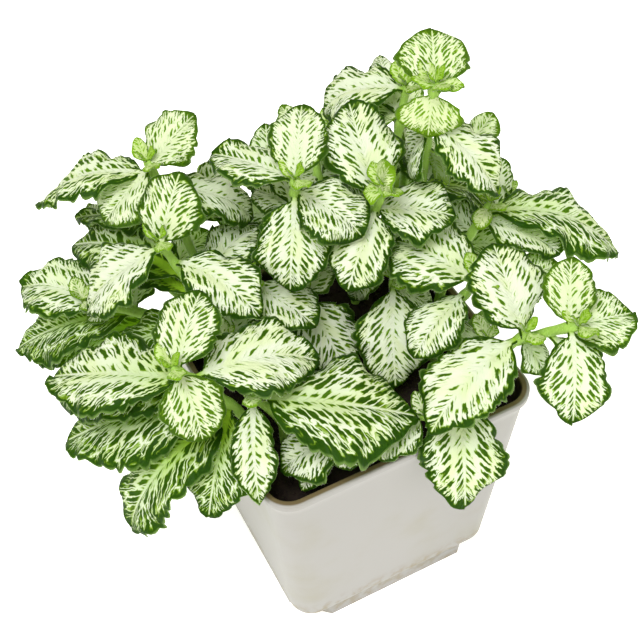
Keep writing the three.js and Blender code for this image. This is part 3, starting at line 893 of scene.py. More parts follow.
@dataclass(frozen=True)
class LeafTissue(Finish):
    """Living leaf, softly hairy and half matt: light shines through it, and white veins net it.

    Side veins leave the midrib at an even spacing. A net of finer veins lies between them, and each
    of its cells holds a green island. The veins thin towards the margin, where the islands merge.
    A ramp gives its third value at its first, and its fourth at its second.
    """

    name = "variegated_leaf"
    cream: str = "#F6F9EA"
    warm: str = "#EBF4C0"
    lime: str = "#A7D038"
    fringe: str = "#A5CC2E"
    green: str = "#5B8419"
    dark_green: str = "#1E3C08"
    young_green: str = "#8DBB22"
    under_green: str = "#A3C258"
    rim: str = "#7F9B55"
    roughness: float = 0.45
    ior: float = 1.42
    specular: float = 0.1
    through_share: float = 0.36
    through_lime: float = 0.7
    under_white: float = 0.5
    fringe_green: float = 0.35

    vein_spacing_mm: float = 2.3
    island_mm: float = 4.9
    main_vein_rows: float = 2.0
    tooth_spacing_mm: float = 1.9
    net_gain: tuple[float, float] = (1.3, -0.25)
    tooth_reach: tuple[float, float] = (0.16, 0.77)
    halves_apart: float = 30.0
    cell_shift: float = 0.62
    shake_down: float = 1.7
    shake_out: float = 2.0
    shake_margin: float = 0.24
    barb: float = 0.12
    tooth_raggedness: float = 0.9
    tooth_begin: float = 0.6
    tooth_widths: tuple[float, float] = (0.36, -0.03)
    margin_darkness: float = 0.75
    mottle_darkness: float = 0.5
    age_darkness: float = 0.5
    grain_height: float = 0.25
    bump_strength: float = 0.5
    bump_height: float = 0.00035

    shake_noise: Noise = (0.7, 1.5)
    barb_noise: Noise = (2.4, 1.0)
    tooth_noise: Noise = (1.1, 1.0)
    mottle_noise: Noise = (0.6, 3.0)
    warm_noise: Noise = (0.12, 1.0)
    grain_noise: Noise = (5.0, 2.0)

    net_width: Ramp = (0.0, 0.95, 0.3, 0.08)
    net_edge: Ramp = (-0.07, 0.1, 1.0, 0.0)
    vein_width: Ramp = (0.1, 0.96, 0.12, 0.03)
    vein_edge: Ramp = (-0.025, 0.025, 1.0, 0.0)
    tooth_edge: Ramp = (-0.06, 0.06, 1.0, 0.0)
    tooth_zone: Ramp = (0.55, 0.72, 0.0, 1.0)
    rib_width: Ramp = (0.0, 1.0, 1.1, 0.25)
    rib_edge: Ramp = (-0.3, 0.4, 1.0, 0.0)
    veins_end: Ramp = (0.83, 0.93, 1.0, 0.0)
    bare_margin: Ramp = (0.94, 0.98, 1.0, 0.0)
    darkening: Ramp = (0.3, 1.2, 0.0, 1.0)
    young: Ramp = (0.0, 0.35, 0.85, 0.0)
    lime_by_rib: Ramp = (0.3, 8.0, 1.0, 0.0)
    lime_by_base: Ramp = (0.1, 0.95, 1.0, 0.0)
    lime_by_age: Ramp = (0.64, 0.9, 0.1, 1.2)
    lime_petiole: Ramp = (0.05, 0.16, 1.0, 0.0)
    lime_bud: Ramp = (0.0, 0.12, 0.8, 0.0)
    warm_patch: Ramp = (0.45, 0.65, 0.0, 0.6)
    warm_youth: Ramp = (0.1, 0.4, 1.0, 0.0)
    fringe_edge: Ramp = (0.0, 0.5, 0.0, 1.0)
    white_edge: Ramp = (0.3, 1.0, 0.0, 1.0)
    cushion: Ramp = (0.0, 0.35, 0.0, 1.0)

    def surface(self, add: AddNode) -> Signal:
        """Build the leaf from the values that each blade's points carry.

        Args:
            add: adds a node to the material's tree.

        Returns:
            The shader.
        """
        place = add(Node.VEIN_PLACE)
        along, nearness, age = add(Node.LEAF_SPAN).parts()
        whiteness, under, rim = add(Node.LEAF_KIND).parts()
        white, cell = self.veins(add, place, along, nearness, whiteness)
        green = self.greens(add, place, nearness, age)
        pale = self.whites(add, place, along, age)
        edge = add(Node.BLEND, self.fringe_green, linear(self.fringe), green)
        upper = add(Node.BLEND, white.ramp(self.fringe_edge), green, edge)
        upper = add(Node.BLEND, white.ramp(self.white_edge), upper, pale)
        lower = add(Node.BLEND, white * self.under_white, linear(self.under_green), linear(self.cream))
        colour = add(Node.BLEND, under, upper, lower)
        colour = add(Node.BLEND, rim, colour, linear(self.rim))

        # The islands stand up as small cushions
        height = add(Node.NOISE, place, *self.grain_noise) * self.grain_height + cell.ramp(self.cushion)
        bump = add(Node.BUMP, self.bump_strength, self.bump_height, height)
        tissue = self.skin(add, colour, bump)
        glow = add(Node.BLEND, self.through_lime, colour, linear(self.lime))
        return add(Node.MIX_SURFACES, self.through_share, tissue, add(Node.THROUGH, glow, bump))

    def veins(
        self, add: AddNode, place: Signal, along: Signal, nearness: Signal, whiteness: Signal
    ) -> tuple[Signal, Signal]:
        """Lay the net, the side veins, their teeth and the midrib on the blade.

        Args:
            add: adds a node to the tree.
            place: millimetres down the veins and out from the midrib, and the leaf's seed.
            along: share of the leaf's length.
            nearness: 0 at the midrib to 1 at the margin.
            whiteness: strength of the leaf's veins.

        Returns:
            The share of white, and the distance from the net's lines.
        """
        down, across, seed = place.parts()

        # The veins are ragged: the place is shaken before the net is laid on it
        shake_down, shake_out, _ = add(Node.NOISE_VECTOR, place, *self.shake_noise).parts()
        reach = across.then(Node.SIZE)
        shaken_down = shake_down * self.shake_down + down
        shaken_reach = shake_out * self.shake_out + reach
        close = nearness + (shake_out - 0.5) * self.shake_margin

        # A net of long cells lies between the side veins, and an island of green fills each cell
        net_down = shaken_down * (1 / self.vein_spacing_mm) + seed
        net_out = shaken_reach * (1 / self.island_mm) + across.then(Node.SIGN) * self.halves_apart
        cell = add(Node.CELL_EDGE, add(Node.JOIN, net_down, net_out, 0.0), 1.0, self.cell_shift)
        cell = cell + (add(Node.NOISE, place, *self.barb_noise) - 0.5) * self.barb
        gain, start = self.net_gain
        net = (cell - close.ramp(self.net_width) * (whiteness * gain + start)).ramp(self.net_edge)

        # Side veins run on to the margin, where they fork into fine teeth
        vein_half = close.ramp(self.vein_width) * whiteness
        off_vein = self.off_stripe(shaken_down, self.vein_spacing_mm * self.main_vein_rows)
        vein = (off_vein - vein_half).ramp(self.vein_edge)
        gain, start = self.tooth_reach
        tooth_half = close.ramp((self.tooth_begin, whiteness * gain + start, *self.tooth_widths))
        uneven = (add(Node.NOISE, place, *self.tooth_noise) - 0.5) * self.tooth_raggedness
        off_tooth = self.off_stripe(shaken_down, self.tooth_spacing_mm)
        tooth = (off_tooth - (tooth_half + uneven)).ramp(self.tooth_edge)
        tooth = tooth * close.ramp(self.tooth_zone) * whiteness

        # All but the midrib fade before the margin, which is bare
        rib = (reach - along.ramp(self.rib_width)).ramp(self.rib_edge)
        white = net.or_more(vein).or_more(tooth) * close.ramp(self.veins_end)
        return white.or_more(rib) * nearness.ramp(self.bare_margin), cell

    @staticmethod
    def off_stripe(place: Signal, spacing: float) -> Signal:
        """Distance from the nearest stripe's middle line, as a share of the stripes' spacing."""
        return ((place * (1 / spacing)).then(Node.FRACTION) - 0.5).then(Node.SIZE)

    def greens(self, add: AddNode, place: Signal, nearness: Signal, age: Signal) -> Signal:
        """Mix the green: darker to the margin and with age, yellow in the youngest leaves.

        Args:
            add: adds a node to the tree.
            place: place on the blade.
            nearness: 0 at the midrib to 1 at the margin.
            age: 0 in the bud to 1 in the oldest leaf.

        Returns:
            The green.
        """
        mottle = add(Node.NOISE, place, *self.mottle_noise) * self.mottle_darkness
        darkness = age * self.age_darkness + nearness * self.margin_darkness + mottle
        depth = darkness.ramp(self.darkening)
        green = add(Node.BLEND, depth, linear(self.green), linear(self.dark_green))
        return add(Node.BLEND, age.ramp(self.young), green, linear(self.young_green))

    def whites(self, add: AddNode, place: Signal, along: Signal, age: Signal) -> Signal:
        """Mix the white: lime round the midrib near the petiole, and in the youngest leaves.

        Args:
            add: adds a node to the tree.
            place: place on the blade.
            along: share of the leaf's length.
            age: 0 in the bud to 1 in the oldest leaf.

        Returns:
            The white.
        """
        reach = place.then(Node.PART_Y).then(Node.SIZE)
        lime = reach.ramp(self.lime_by_rib) * along.ramp(self.lime_by_base) * age.ramp(self.lime_by_age)
        lime = lime.or_more(along.ramp(self.lime_petiole)).or_more(age.ramp(self.lime_bud))
        warmth = add(Node.NOISE, place, *self.warm_noise).ramp(self.warm_patch)
        warmth = warmth.or_more(age.ramp(self.warm_youth))
        pale = add(Node.BLEND, warmth, linear(self.cream), linear(self.warm))
        return add(Node.BLEND, lime, pale, linear(self.lime))


@dataclass(frozen=True)
class GrainedFinish(Finish):
    """A finish of two colours mixed by noise, which also roughens it."""

    name = "grained"
    first: str = "#FFFFFF"
    second: str = "#FFFFFF"
    stretch: tuple[float, float, float] = (1.0, 1.0, 1.0)
    noise: Noise = (1.0, 2.0)
    bump_strength: float = 0.3
    bump_height: float = 0.0002

    def surface(self, add: AddNode) -> Signal:
        """Add the nodes of the surface and return its shader.

        Args:
            add: adds a node to the tree.

        Returns:
            The shader.
        """
        place = add(Node.STRETCH, add(Node.OBJECT_PLACE), self.stretch)
        grain = add(Node.NOISE, place, *self.noise)
        colour = add(Node.BLEND, grain, linear(self.first), linear(self.second))
        bump = add(Node.BUMP, self.bump_strength, self.bump_height, grain)
        return self.skin(add, colour, bump)


@dataclass(frozen=True)
class StemTissue(GrainedFinish):
    """Soft pale green stem with a bloom of short down: half matt, streaked along its length."""

    name = "green_stem"
    first: str = "#A8CB62"
    second: str = "#78A03A"
    ior: float = 1.42
    stretch: tuple[float, float, float] = (1500.0, 1500.0, 120.0)


@dataclass(frozen=True)
class PottingMix(GrainedFinish):
    """Moist peat and bark with no shine: brown on its crumbs, near black in its gaps, where the dark is
    partly the wet peat and partly painted shade.
    """

    name = "potting_mix"
    # The first colour falls where the grain and its bump are low, so its near black is painted shade in
    # the gaps as well as the wet peat's own dark.
    first: str = "#0C0907"
    second: str = "#2B1F17"
    roughness: float = 0.9
    noise: Noise = (420.0, 6.0)
    bump_strength: float = 0.9
    bump_height: float = 0.0006


@dataclass(frozen=True)
class Down(Finish):
    """Short colourless plant hairs: they catch the light as a silver edge."""

    name = "plant_down"
    colour: str = "#E9EFDD"
    roughness: float = 0.4
    specular: float = 0.5

    def surface(self, add: AddNode) -> Signal:
        """Add the nodes of the surface and return its shader."""
        return self.skin(add, linear(self.colour))


@dataclass(frozen=True)
class PotPlastic(Finish):
    """Injection-moulded polypropylene: a smooth satin face, a stained rim, grime at the foot, and painted
    shade on its inner wall.
    """

    name = "moulded_polypropylene"
    wall: str = "#969392"
    smudge: str = "#8E8A7B"
    stain: str = "#62543A"
    grime: str = "#7C6F4E"
    # Painted shade: the near-black brown of the pot's inner wall above the soil.
    inside: str = "#2B241D"
    roughness: float = 0.42
    ior: float = 1.49
    specular: float = 0.4
    smudge_noise: Noise = (38.0, 5.0)
    smudge_edge: Ramp = (0.5, 0.85, 0.0, 1.0)
    grime_noise: Noise = (330.0, 5.0)
    grime_edge: Ramp = (0.38, 0.68, 0.0, 1.0)
    grain_noise: Noise = (2600.0, 2.0)
    bump_strength: float = 0.15
    bump_height: float = 0.0001

    def surface(self, add: AddNode) -> Signal:
        """Add the nodes of the surface and return its shader.

        Args:
            add: adds a node to the tree.

        Returns:
            The shader.
        """
        place = add(Node.OBJECT_PLACE)
        stain, inside, soiled = add(Node.POT_ZONE).parts()
        smudge = add(Node.NOISE, place, *self.smudge_noise).ramp(self.smudge_edge)
        grime = soiled * add(Node.NOISE, place, *self.grime_noise).ramp(self.grime_edge)
        colour = add(Node.BLEND, smudge, linear(self.wall), linear(self.smudge))
        # The last blend paints shade on the inner wall, by each ring's inside share.
        for share, over in ((grime, self.grime), (stain, self.stain), (inside, self.inside)):
            colour = add(Node.BLEND, share, colour, linear(over))
        grain = add(Node.NOISE, place, *self.grain_noise)
        bump = add(Node.BUMP, self.bump_strength, self.bump_height, grain)
        return self.skin(add, colour, bump)


@dataclass(frozen=True)
class LightTable(Finish):
    """Matt white acrylic top of a light table: a faint glow from below thins the shadows on it."""

    name = "light_table"
    colour: str = "#FDFDFD"
    roughness: float = 0.9
    ior: float = 1.49
    specular: float = 0.2
    glow: float = 0.6

    def surface(self, add: AddNode) -> Signal:
        """Add the nodes of the surface and return its shader."""
        colour = linear(self.colour)
        return add(Node.ADD_SURFACES, self.skin(add, colour), add(Node.GLOW, colour, self.glow))


# Sub-assemblies


def square_ring(half: float, radius: float, height: float, steps: int) -> Array:
    """Points of a square ring with round corners, counter-clockwise.

    Args:
        half: half its width.
        radius: corner radius.
        height: its height.
        steps: segments to a corner.

    Returns:
        One row to a point.
    """
    corner = np.repeat(np.arange(4), steps + 1)
    step = np.tile(np.arange(steps + 1), 4)
    angle = (corner + step / steps) * math.pi / 2
    sign_x = np.where((corner == 0) | (corner == 3), 1, -1)
    sign_y = np.where(corner < 2, 1, -1)
    x = sign_x * (half - radius) + radius * np.cos(angle)
    y = sign_y * (half - radius) + radius * np.sin(angle)
    return np.stack([x, y, np.full_like(x, height)], axis=1)


def body_half(height: float) -> float:
    """Half width of the pot's outer wall at a height, below the flare under its rim."""
    rise = (height - FOOT_HEIGHT) / (POT_HEIGHT - RIM_DEPTH - FOOT_HEIGHT)
    return BODY_BOTTOM_HALF + (BODY_TOP_HALF - BODY_BOTTOM_HALF) * rise


def at_height(ring: Array, height: float) -> Array:
    """Lay a flat ring of points at a height."""
    return np.column_stack([ring, np.full(len(ring), height)])


def quarter_round(radius: float, steps: int) -> list[tuple[float, float, float]]:
    """Distances of a quarter circle from its corner's two sides, and its turn, step by step."""
    turns = np.linspace(0, math.pi / 2, steps)
    return [(radius * (1 - math.sin(turn)), radius * (1 - math.cos(turn)), turn) for turn in turns]


@dataclass
class Pot:
    """The square pot: a thin tapered wall, a proud rim with rounded lips, and a recessed foot."""

    corner_steps: int = 14
    lip_radius: float = 0.45
    lip_steps: int = 4
    lip_flat: float = 0.5
    edge_radius: float = 1.2
    edge_steps: int = 5
    flare_power: float = 1.4
    outer_heights: tuple[float, ...] = (9.0, 11.0, 15.0, 20.0, 40.0, 60.0, 75.0)
    inner_heights: tuple[float, ...] = (80.0, 60.0, 30.0)
    soiled_heights: tuple[float, ...] = (0.0, FOOT_HEIGHT, 9.0, 15.0)
    soiled_shares: tuple[float, ...] = (0.8, 1.0, 0.75, 0.0)
    foot_soiled: float = 0.7
    foot_bevel: float = 0.4
    foot_bevel_height: float = 0.5
    foot_overlap: float = 0.3
    drain_radius: float = 4.0
    drain_reach: float = 22.0
    drain_steps: int = 24
    crisp_from: float = 50.0

    def profile(self) -> list[tuple[float, float, float, float, float]]:
        """Rings of the cup from its underside out, up, over the rim and down to the floor.

        Returns:
            Half width, corner radius, height, stain share and share of painted shade inside the pot, for
            each ring.
        """
        rim_foot = POT_HEIGHT - RIM_DEPTH
        flare_foot = rim_foot - RIM_FLARE
        flare_half = body_half(flare_foot)
        inner_radius = BODY_CORNER_RADIUS - WALL
        rings = [(BODY_BOTTOM_HALF - 4, BODY_CORNER_RADIUS - 3, FOOT_HEIGHT, 0.0, 0.0)]
        for inset, rise, _ in quarter_round(self.edge_radius, self.edge_steps):
            half = body_half(FOOT_HEIGHT + rise) - inset
            rings.append((half, BODY_CORNER_RADIUS - inset, FOOT_HEIGHT + rise, 0.0, 0.0))
        for height in (*self.outer_heights, flare_foot):
            rings.append((body_half(height), BODY_CORNER_RADIUS, height, 0.0, 0.0))
        for share in (0.2, 0.4, 0.6, 0.8, 1.0):
            half = flare_half + (RIM_HALF - flare_half) * share**self.flare_power
            radius = BODY_CORNER_RADIUS + (RIM_CORNER_RADIUS - BODY_CORNER_RADIUS) * share
            rings.append((half, radius, flare_foot + RIM_FLARE * share, 0.0, 0.0))
        lip = quarter_round(self.lip_radius, self.lip_steps)
        for drop, inset, _ in lip:
            rings.append((RIM_HALF - inset, RIM_CORNER_RADIUS, POT_HEIGHT - drop, 0.0, 0.0))
        half = RIM_HALF - self.lip_radius - self.lip_flat
        rings.append((half, RIM_CORNER_RADIUS - self.lip_flat, POT_HEIGHT, 1.0, 0.0))
        # Painted shade inside the pot begins on the inner lip and is full on the inner wall.
        for inset, drop, turn in lip:
            half = RIM_INNER_HALF + inset
            rings.append((half, inner_radius + inset, POT_HEIGHT - drop, 1.0, turn / math.pi))
        for height in (rim_foot, *self.inner_heights, FOOT_HEIGHT + WALL):
            rings.append((body_half(height) - WALL, inner_radius, height, 1.0, 1.0))
        return rings

    def soiled(self, height: float) -> float:
        """Share of grime on the wall at a height: most at its bottom edge, none higher up."""
        return float(np.interp(height, self.soiled_heights, self.soiled_shares))

    def build(self) -> None:
        """Build and dress the pot."""
        patch = Patch()
        rings = []
        zones = []
        for half, radius, height, stain, inside in self.profile():
            rings.append(square_ring(half, radius, height, self.corner_steps))
            # The second share is how much shade is painted on the ring.
            zones.append((stain, inside, self.soiled(height)))
        patch.add_tube(rings, capped=True, pot_zone=np.repeat(np.array(zones), len(rings[0]), axis=0))
        self.add_foot(patch)
        pot = patch.make("nursery_pot", PotPlastic().make())
        pot.data.set_sharp_from_angle(angle=math.radians(self.crisp_from))
        place_on_frame(pot, "pot_plastic", "pot")

    def add_foot(self, patch: Patch) -> None:
        """Add the foot: a square with its corners cut off, hollow above its floor, with drain holes.

        Args:
            patch: takes the faces.
        """
        outline = self.foot_outline(0.0)
        bottom = self.foot_outline(self.foot_bevel)
        levels = (
            (outline, FOOT_HEIGHT + self.foot_overlap),
            (outline, self.foot_bevel_height),
            (bottom, 0.0),
        )
        rings = [at_height(ring, height) for ring, height in levels]
        zone = np.tile((0, 0, self.foot_soiled), (len(rings) * len(outline), 1))
        patch.add_tube(rings, turned=True, pot_zone=zone)
        self.add_foot_floor(patch, bottom, 0.0, down=True)
        self.add_foot_floor(patch, self.foot_outline(WALL), WALL, down=False)

    @staticmethod
    def foot_outline(inset: float) -> Array:
        """Corners of the foot's outline, set in by some distance.

        Args:
            inset: distance inward from the foot's outside.

        Returns:
            The corners in order.
        """
        half = FOOT_HALF - inset
        cut = half - FOOT_CORNER_CUT
        return np.array([
            (half, -cut), (half, cut), (cut, half), (-cut, half),
            (-half, cut), (-half, -cut), (-cut, -half), (cut, -half),
        ])

    def add_foot_floor(self, patch: Patch, outline: Array, height: float, down: bool) -> None:
        """Add one face of the foot's floor as four quarters, each round its own drain hole.

        Args:
            patch: the mesh to add to.
            outline: the floor's outline.
            height: its height.
            down: whether it faces down.
        """
        angle = np.arange(self.drain_steps) / self.drain_steps * FULL_TURN
        ways = np.stack([np.cos(angle), np.sin(angle)], axis=1)
        half = outline[:, 0].max()
        to_cut = half + abs(outline[0, 1]) - 2 * self.drain_reach
        zone = np.zeros((2 * self.drain_steps, 3))
        for signs in ((1, 1), (-1, 1), (-1, -1), (1, -1)):
            centre = np.array(signs) * self.drain_reach
            toward = ways * signs
            to_side = (half - self.drain_reach) / np.maximum(toward, TINY)
            to_middle = self.drain_reach / np.maximum(-toward, TINY)
            reach = np.where(toward > 0, to_side, to_middle).min(axis=1)
            reach = np.minimum(reach, to_cut / np.maximum(toward.sum(axis=1), TINY))
            rings = [at_height(centre + ways * out, height) for out in (self.drain_radius, reach[:, None])]
            patch.add_tube(rings, turned=down, pot_zone=zone)


@dataclass
class SoilBed:
    """Potting mix up to just under the rim: a crumbly surface with loose crumbs on it."""

    inset: float = WALL + SOIL_GAP
    underside: float = 1.6
    foot_inset: float = 2.0
    shoulder: float = 1.5
    corner_steps: int = 12
    layers: int = 46
    crumbs: int = 900
    crumb_margin: float = 2.0
    stem_room: float = 2.6
    seed: int = 11

    @staticmethod
    def height(x: Array, y: Array) -> Array:
        """Height of the soil's top: the solid model's swell with finer crumbs on it.

        Args:
            x: places across the pot.
            y: places from front to back.

        Returns:
            The heights.
        """
        swell = 0.9 * np.sin(0.31 * x + 1) * np.cos(0.27 * y)
        waves = 0.5 * np.sin(0.83 * x + 0.61 * y)
        fine = 0.35 * np.sin(2.3 * x + 1.7 * np.sin(1.9 * y)) * np.sin(2.1 * y + 1.3 * np.sin(1.4 * x))
        return SOIL_TOP + swell + waves + fine - 0.2

    def build(self, plans: Iterable[ShootPlan]) -> None:
        """Build and dress the soil.

        Args:
            plans: the shoots, which no crumb lies on.
        """
        patch = Patch()
        self.add_bulk(patch)
        self.add_crumbs(patch, plans)
        soil = patch.make("potting_soil", PottingMix().make())
        place_on_frame(soil, "potting_soil", "soil")

    def top_half(self) -> float:
        """Half width of the top."""
        return body_half(SOIL_TOP) - self.inset

    def add_bulk(self, patch: Patch) -> None:
        """Add the underside, the walls and the crumbly top.

        Args:
            patch: takes the faces.
        """
        radius = BODY_CORNER_RADIUS - self.inset
        floor = FOOT_HEIGHT + self.inset
        foot_half = FOOT_HALF - self.inset - self.foot_inset
        foot_radius = FOOT_CORNER_CUT + self.foot_inset
        sizes = [(1.0, 0.5, self.underside), (foot_half, foot_radius, self.underside)]
        sizes.append((foot_half, foot_radius, floor))
        for height in (floor, SOIL_TOP - self.shoulder):
            sizes.append((body_half(height) - self.inset, radius, height))
        rings = [square_ring(*size, self.corner_steps) for size in sizes]
        for layer in range(self.layers):
            share = 1 - layer / self.layers
            ring = square_ring(self.top_half() * share, radius * share, SOIL_TOP, self.corner_steps)
            ring[:, 2] = self.height(ring[:, 0], ring[:, 1])
            rings.append(ring)
        patch.add_tube(rings)

    @staticmethod
    def ball() -> tuple[Array, Array]:
        """Twelve points on a ball, and the twenty faces between neighbours, turned outward.

        Returns:
            The points and the faces.
        """
        golden = (1 + math.sqrt(5)) / 2
        corners = []
        for one in (-1, 1):
            for other in (-golden, golden):
                corners += [(0, one, other), (one, other, 0), (other, 0, one)]
        ball = np.array(corners) / math.hypot(1, golden)
        longest_side = 1.1
        faces = []
        for a, b, c in combinations(range(len(ball)), 3):
            sides = np.linalg.norm(ball[[a, b, a]] - ball[[b, c, c]], axis=1)
            if sides.max() < longest_side:
                outward = np.cross(ball[b] - ball[a], ball[c] - ball[a]) @ ball[a] > 0
                faces.append((a, b, c) if outward else (a, c, b))
        return ball, np.array(faces)

    def add_crumbs(self, patch: Patch, plans: Iterable[ShootPlan]) -> None:
        """Scatter loose crumbs: squashed lumps, half sunk in the surface.

        Args:
            patch: takes the faces.
            plans: the shoots, which no crumb lies on.
        """
        draw = np.random.default_rng(self.seed)
        roots = np.array([plan.root for plan in plans])
        ball, faces = self.ball()
        limit = self.top_half() - self.crumb_margin
        for _ in range(self.crumbs):
            spot = draw.uniform(-limit, limit, 2)
            if np.min(np.hypot(*(roots - spot).T)) < self.stem_room:
                continue
            size = draw.uniform(0.5, 1.5) * np.array([1, draw.uniform(0.6, 1), draw.uniform(0.4, 0.8)])
            lump = ball * size * draw.uniform(0.8, 1.2, (len(ball), 1))
            lump = lump @ np.array(Matrix.Rotation(-draw.uniform(0, FULL_TURN), 3, "Z"))
            centre = (*spot, self.height(*spot) + 0.2 * size[2])
            patch.add(lump + centre, faces)


@dataclass
class Hairs(Patch):
    """A mesh of short hairs, each a slender three-sided spike."""

    length: float = 0.55
    width: float = 0.06

    def add_hair(self, start: Array, way: Array, share: float) -> None:
        """Add one hair from its foot along its way, with some share of the full length.

        Args:
            start: its foot.
            way: the way that it points.
            share: share of the full length.
        """
        way = unit(way)
        aside = unit(np.cross(way, (0.31, 0.52, 0.79))) * self.width / 2
        other = 0.87 * np.cross(way, aside)
        foot = [start + aside, start - aside / 2 + other, start - aside / 2 - other]
        self.add(np.array([*foot, start + way * self.length * share]), HAIR_FACES)


@dataclass
class Blade:
    """A leaf's fine form: a lobed outline, puckers between its side veins, and a curled margin.

    A wave is its height and its number of turns along the blade.
    """

    leaf: Leaf
    draw: Draw
    thickness: float = 0.45
    petiole_thickness: float = 1.7
    rib_height: float = 0.5
    rib_half_width: float = 0.7
    full_relief_length: float = 30.0
    row_spacing: float = 0.85
    fewest_rows: int = 12
    last_share: float = 0.9985
    columns: tuple[float, ...] = (0.0, 0.16, 0.32, 0.48, 0.63, 0.77, 0.88, 0.955, 1.0)
    pointedness: tuple[float, float] = (0.03, 0.35)
    lobe_length: float = 4.0
    lobe_depth: float = 0.75
    lobe_depth_share: float = 0.03
    least_lobe: float = 0.35
    unevenness: Wave = (1.1, 1.15)
    drift: Wave = (0.35, 1.3)
    broad: Wave = (0.9, 1.6)
    pucker: float = 0.4
    groove: float = 0.35
    groove_half_width: float = 0.9
    ripple: float = 0.9
    roll_down: float = 0.55
    sway: Wave = (1.4, 1.3)
    fold: tuple[float, float] = (-0.05, 0.04)
    tip_curl: tuple[float, float] = (-0.06, 0.03)
    net_seeds: float = 400.0
    white_jitter: float = 0.12

    def __post_init__(self) -> None:
        """Lay out the grid of points, closer together towards the margin, and the lobes."""
        rows = max(self.fewest_rows, round(self.leaf.length / self.row_spacing))
        share_line = np.linspace(0, 1, rows + 1)
        share_line[-1] = self.last_share
        columns = np.array(self.columns)
        side_line = np.concatenate([-columns[:0:-1], columns])
        self.share, self.side = np.meshgrid(share_line, side_line, indexing="ij")
        self.along = along_blade(self.share)
        self.reach = np.abs(self.side)
        self.ends = smooth(0.06, 0.2, self.along) * (1 - 0.5 * smooth(0.85, 1.0, self.along))
        self.relief = min(1.0, self.leaf.length / self.full_relief_length)
        self.point = self.draw(*self.pointedness)
        lobes = max(3, round(self.leaf.length * (1 - PETIOLE_SHARE) / self.lobe_length))
        phase = np.where(self.side > 0, self.draw(0, 1), self.draw(0, 1))
        self.lobe_turn = math.pi * (lobes * self.along + phase)

    def swing(self, wave: Wave, start: Array | float) -> Array:
        """Swing in a wave along the blade, from a start in turns."""
        height, turns = wave
        return height * np.sin(FULL_TURN * (turns * self.along + start))

    def half_width(self) -> Array:
        """Half the width, with unevenly deep lobes on a broad wave.

        Returns:
            Half the width for each point of the blade.
        """
        leaf, along, draw = self.leaf, self.along, self.draw
        half = np.sign(self.side)
        full = leaf.width / 2 * swell_at(along) * (1 - self.point * smooth(0.65, 1.0, along))
        stalk = PETIOLE_HALF_WIDTH * min(1, leaf.length / 14) * (1 - smooth(0.0, 0.25, along))
        drift = self.swing(self.drift, draw(0, 1))
        bulge = np.abs(np.sin(self.lobe_turn + math.pi * drift))
        uneven = self.least_lobe + np.abs(self.swing(self.unevenness, draw(0, 0.5) + 0.15 * half))
        broad = self.swing(self.broad, draw(0, 1) + 0.4 * half)
        wave = (bulge**0.7 - 0.6) * uneven * 2 + broad
        depth = min(self.lobe_depth, leaf.width * self.lobe_depth_share)
        return np.maximum(full, stalk) + wave * depth * self.reach**6 * self.ends

    def lift(self, down_vein: Array, away: Array) -> Array:
        """Lift the middle surface off the plain one.

        Args:
            down_vein: millimetres down the rib to the root of the side vein through each point.
            away: millimetres from the rib.

        Returns:
            The height at each point.
        """
        leaf, along, reach, draw = self.leaf, self.along, self.reach, self.draw
        between = 0.5 - 0.5 * np.cos(FULL_TURN * down_vein / LeafTissue.vein_spacing_mm)
        pucker = self.pucker * between * smooth(0.02, 0.25, reach) * (1 - 0.3 * reach) * self.ends
        groove = -self.groove * np.exp(-((away / self.groove_half_width) ** 2)) * smooth(0.0, 0.3, along)
        ripple = self.ripple * reach**2 * np.sin(self.lobe_turn) * self.ends
        roll_down = -self.roll_down * smooth(0.86, 1.0, reach) * self.ends
        sway = self.swing(self.sway, draw(0, 1)) * self.side * reach * smooth(0.1, 0.4, along)
        fold = draw(*self.fold) * min(leaf.width, 20) * reach**2 * smooth(0.1, 0.5, along)
        tip_curl = draw(*self.tip_curl) * leaf.length * smooth(0.55, 1.0, along) ** 1.5
        return self.relief * (pucker + groove + ripple + roll_down + sway) + fold + tip_curl

    def form(self) -> tuple[Array, Array, Array]:
        """Shape the blade's middle surface.

        Returns:
            Its points, their places in the net of veins, and their nearness to the margin.
        """
        leaf, share = self.leaf, self.share
        half_width = self.half_width()
        across = self.side * half_width
        away = np.abs(across)
        widest = leaf.width / 2
        down_vein = share * leaf.length - away * (1.15 - 0.15 * away / widest)
        middle = leaf.surface(share, across / leaf.half_width(share))
        middle = middle + leaf.frame(share)[1] * self.lift(down_vein, away)[..., None]
        edge = np.minimum(half_width * (1 - self.reach), (1 - share) * leaf.length * 0.6)
        nearness = 1 - np.clip(edge / widest, 0, 1)
        seed = np.full(share.shape, self.draw(0, self.net_seeds))
        size = np.interp(leaf.length, [10, 35, 60], [0.55, 0.9, 1.35]) * (0.9 + 0.2 * self.draw(0, 1))
        return middle, np.stack([down_vein / size, across / size, seed], axis=-1), nearness

    def halves(self) -> tuple[Array, Array]:
        """Distances from the middle surface to the upper face and to the lower one with its rib.

        Returns:
            The two distances for each point of the blade.
        """
        petiole = 1 - smooth(0.0, 0.16, self.along)
        round_off = np.sqrt(np.clip(1 - self.side**2, 0.05, 1))
        sheet = self.thickness * (0.55 + 0.45 * round_off)
        stalk = min(self.petiole_thickness, self.leaf.length * 0.12) * round_off
        half = (sheet * (1 - petiole) + stalk * petiole) / 2
        off_rib = self.side * self.leaf.half_width(self.share) / self.rib_half_width
        return half, half + self.rib_height * np.exp(-(off_rib**2)) * (1 - self.share)

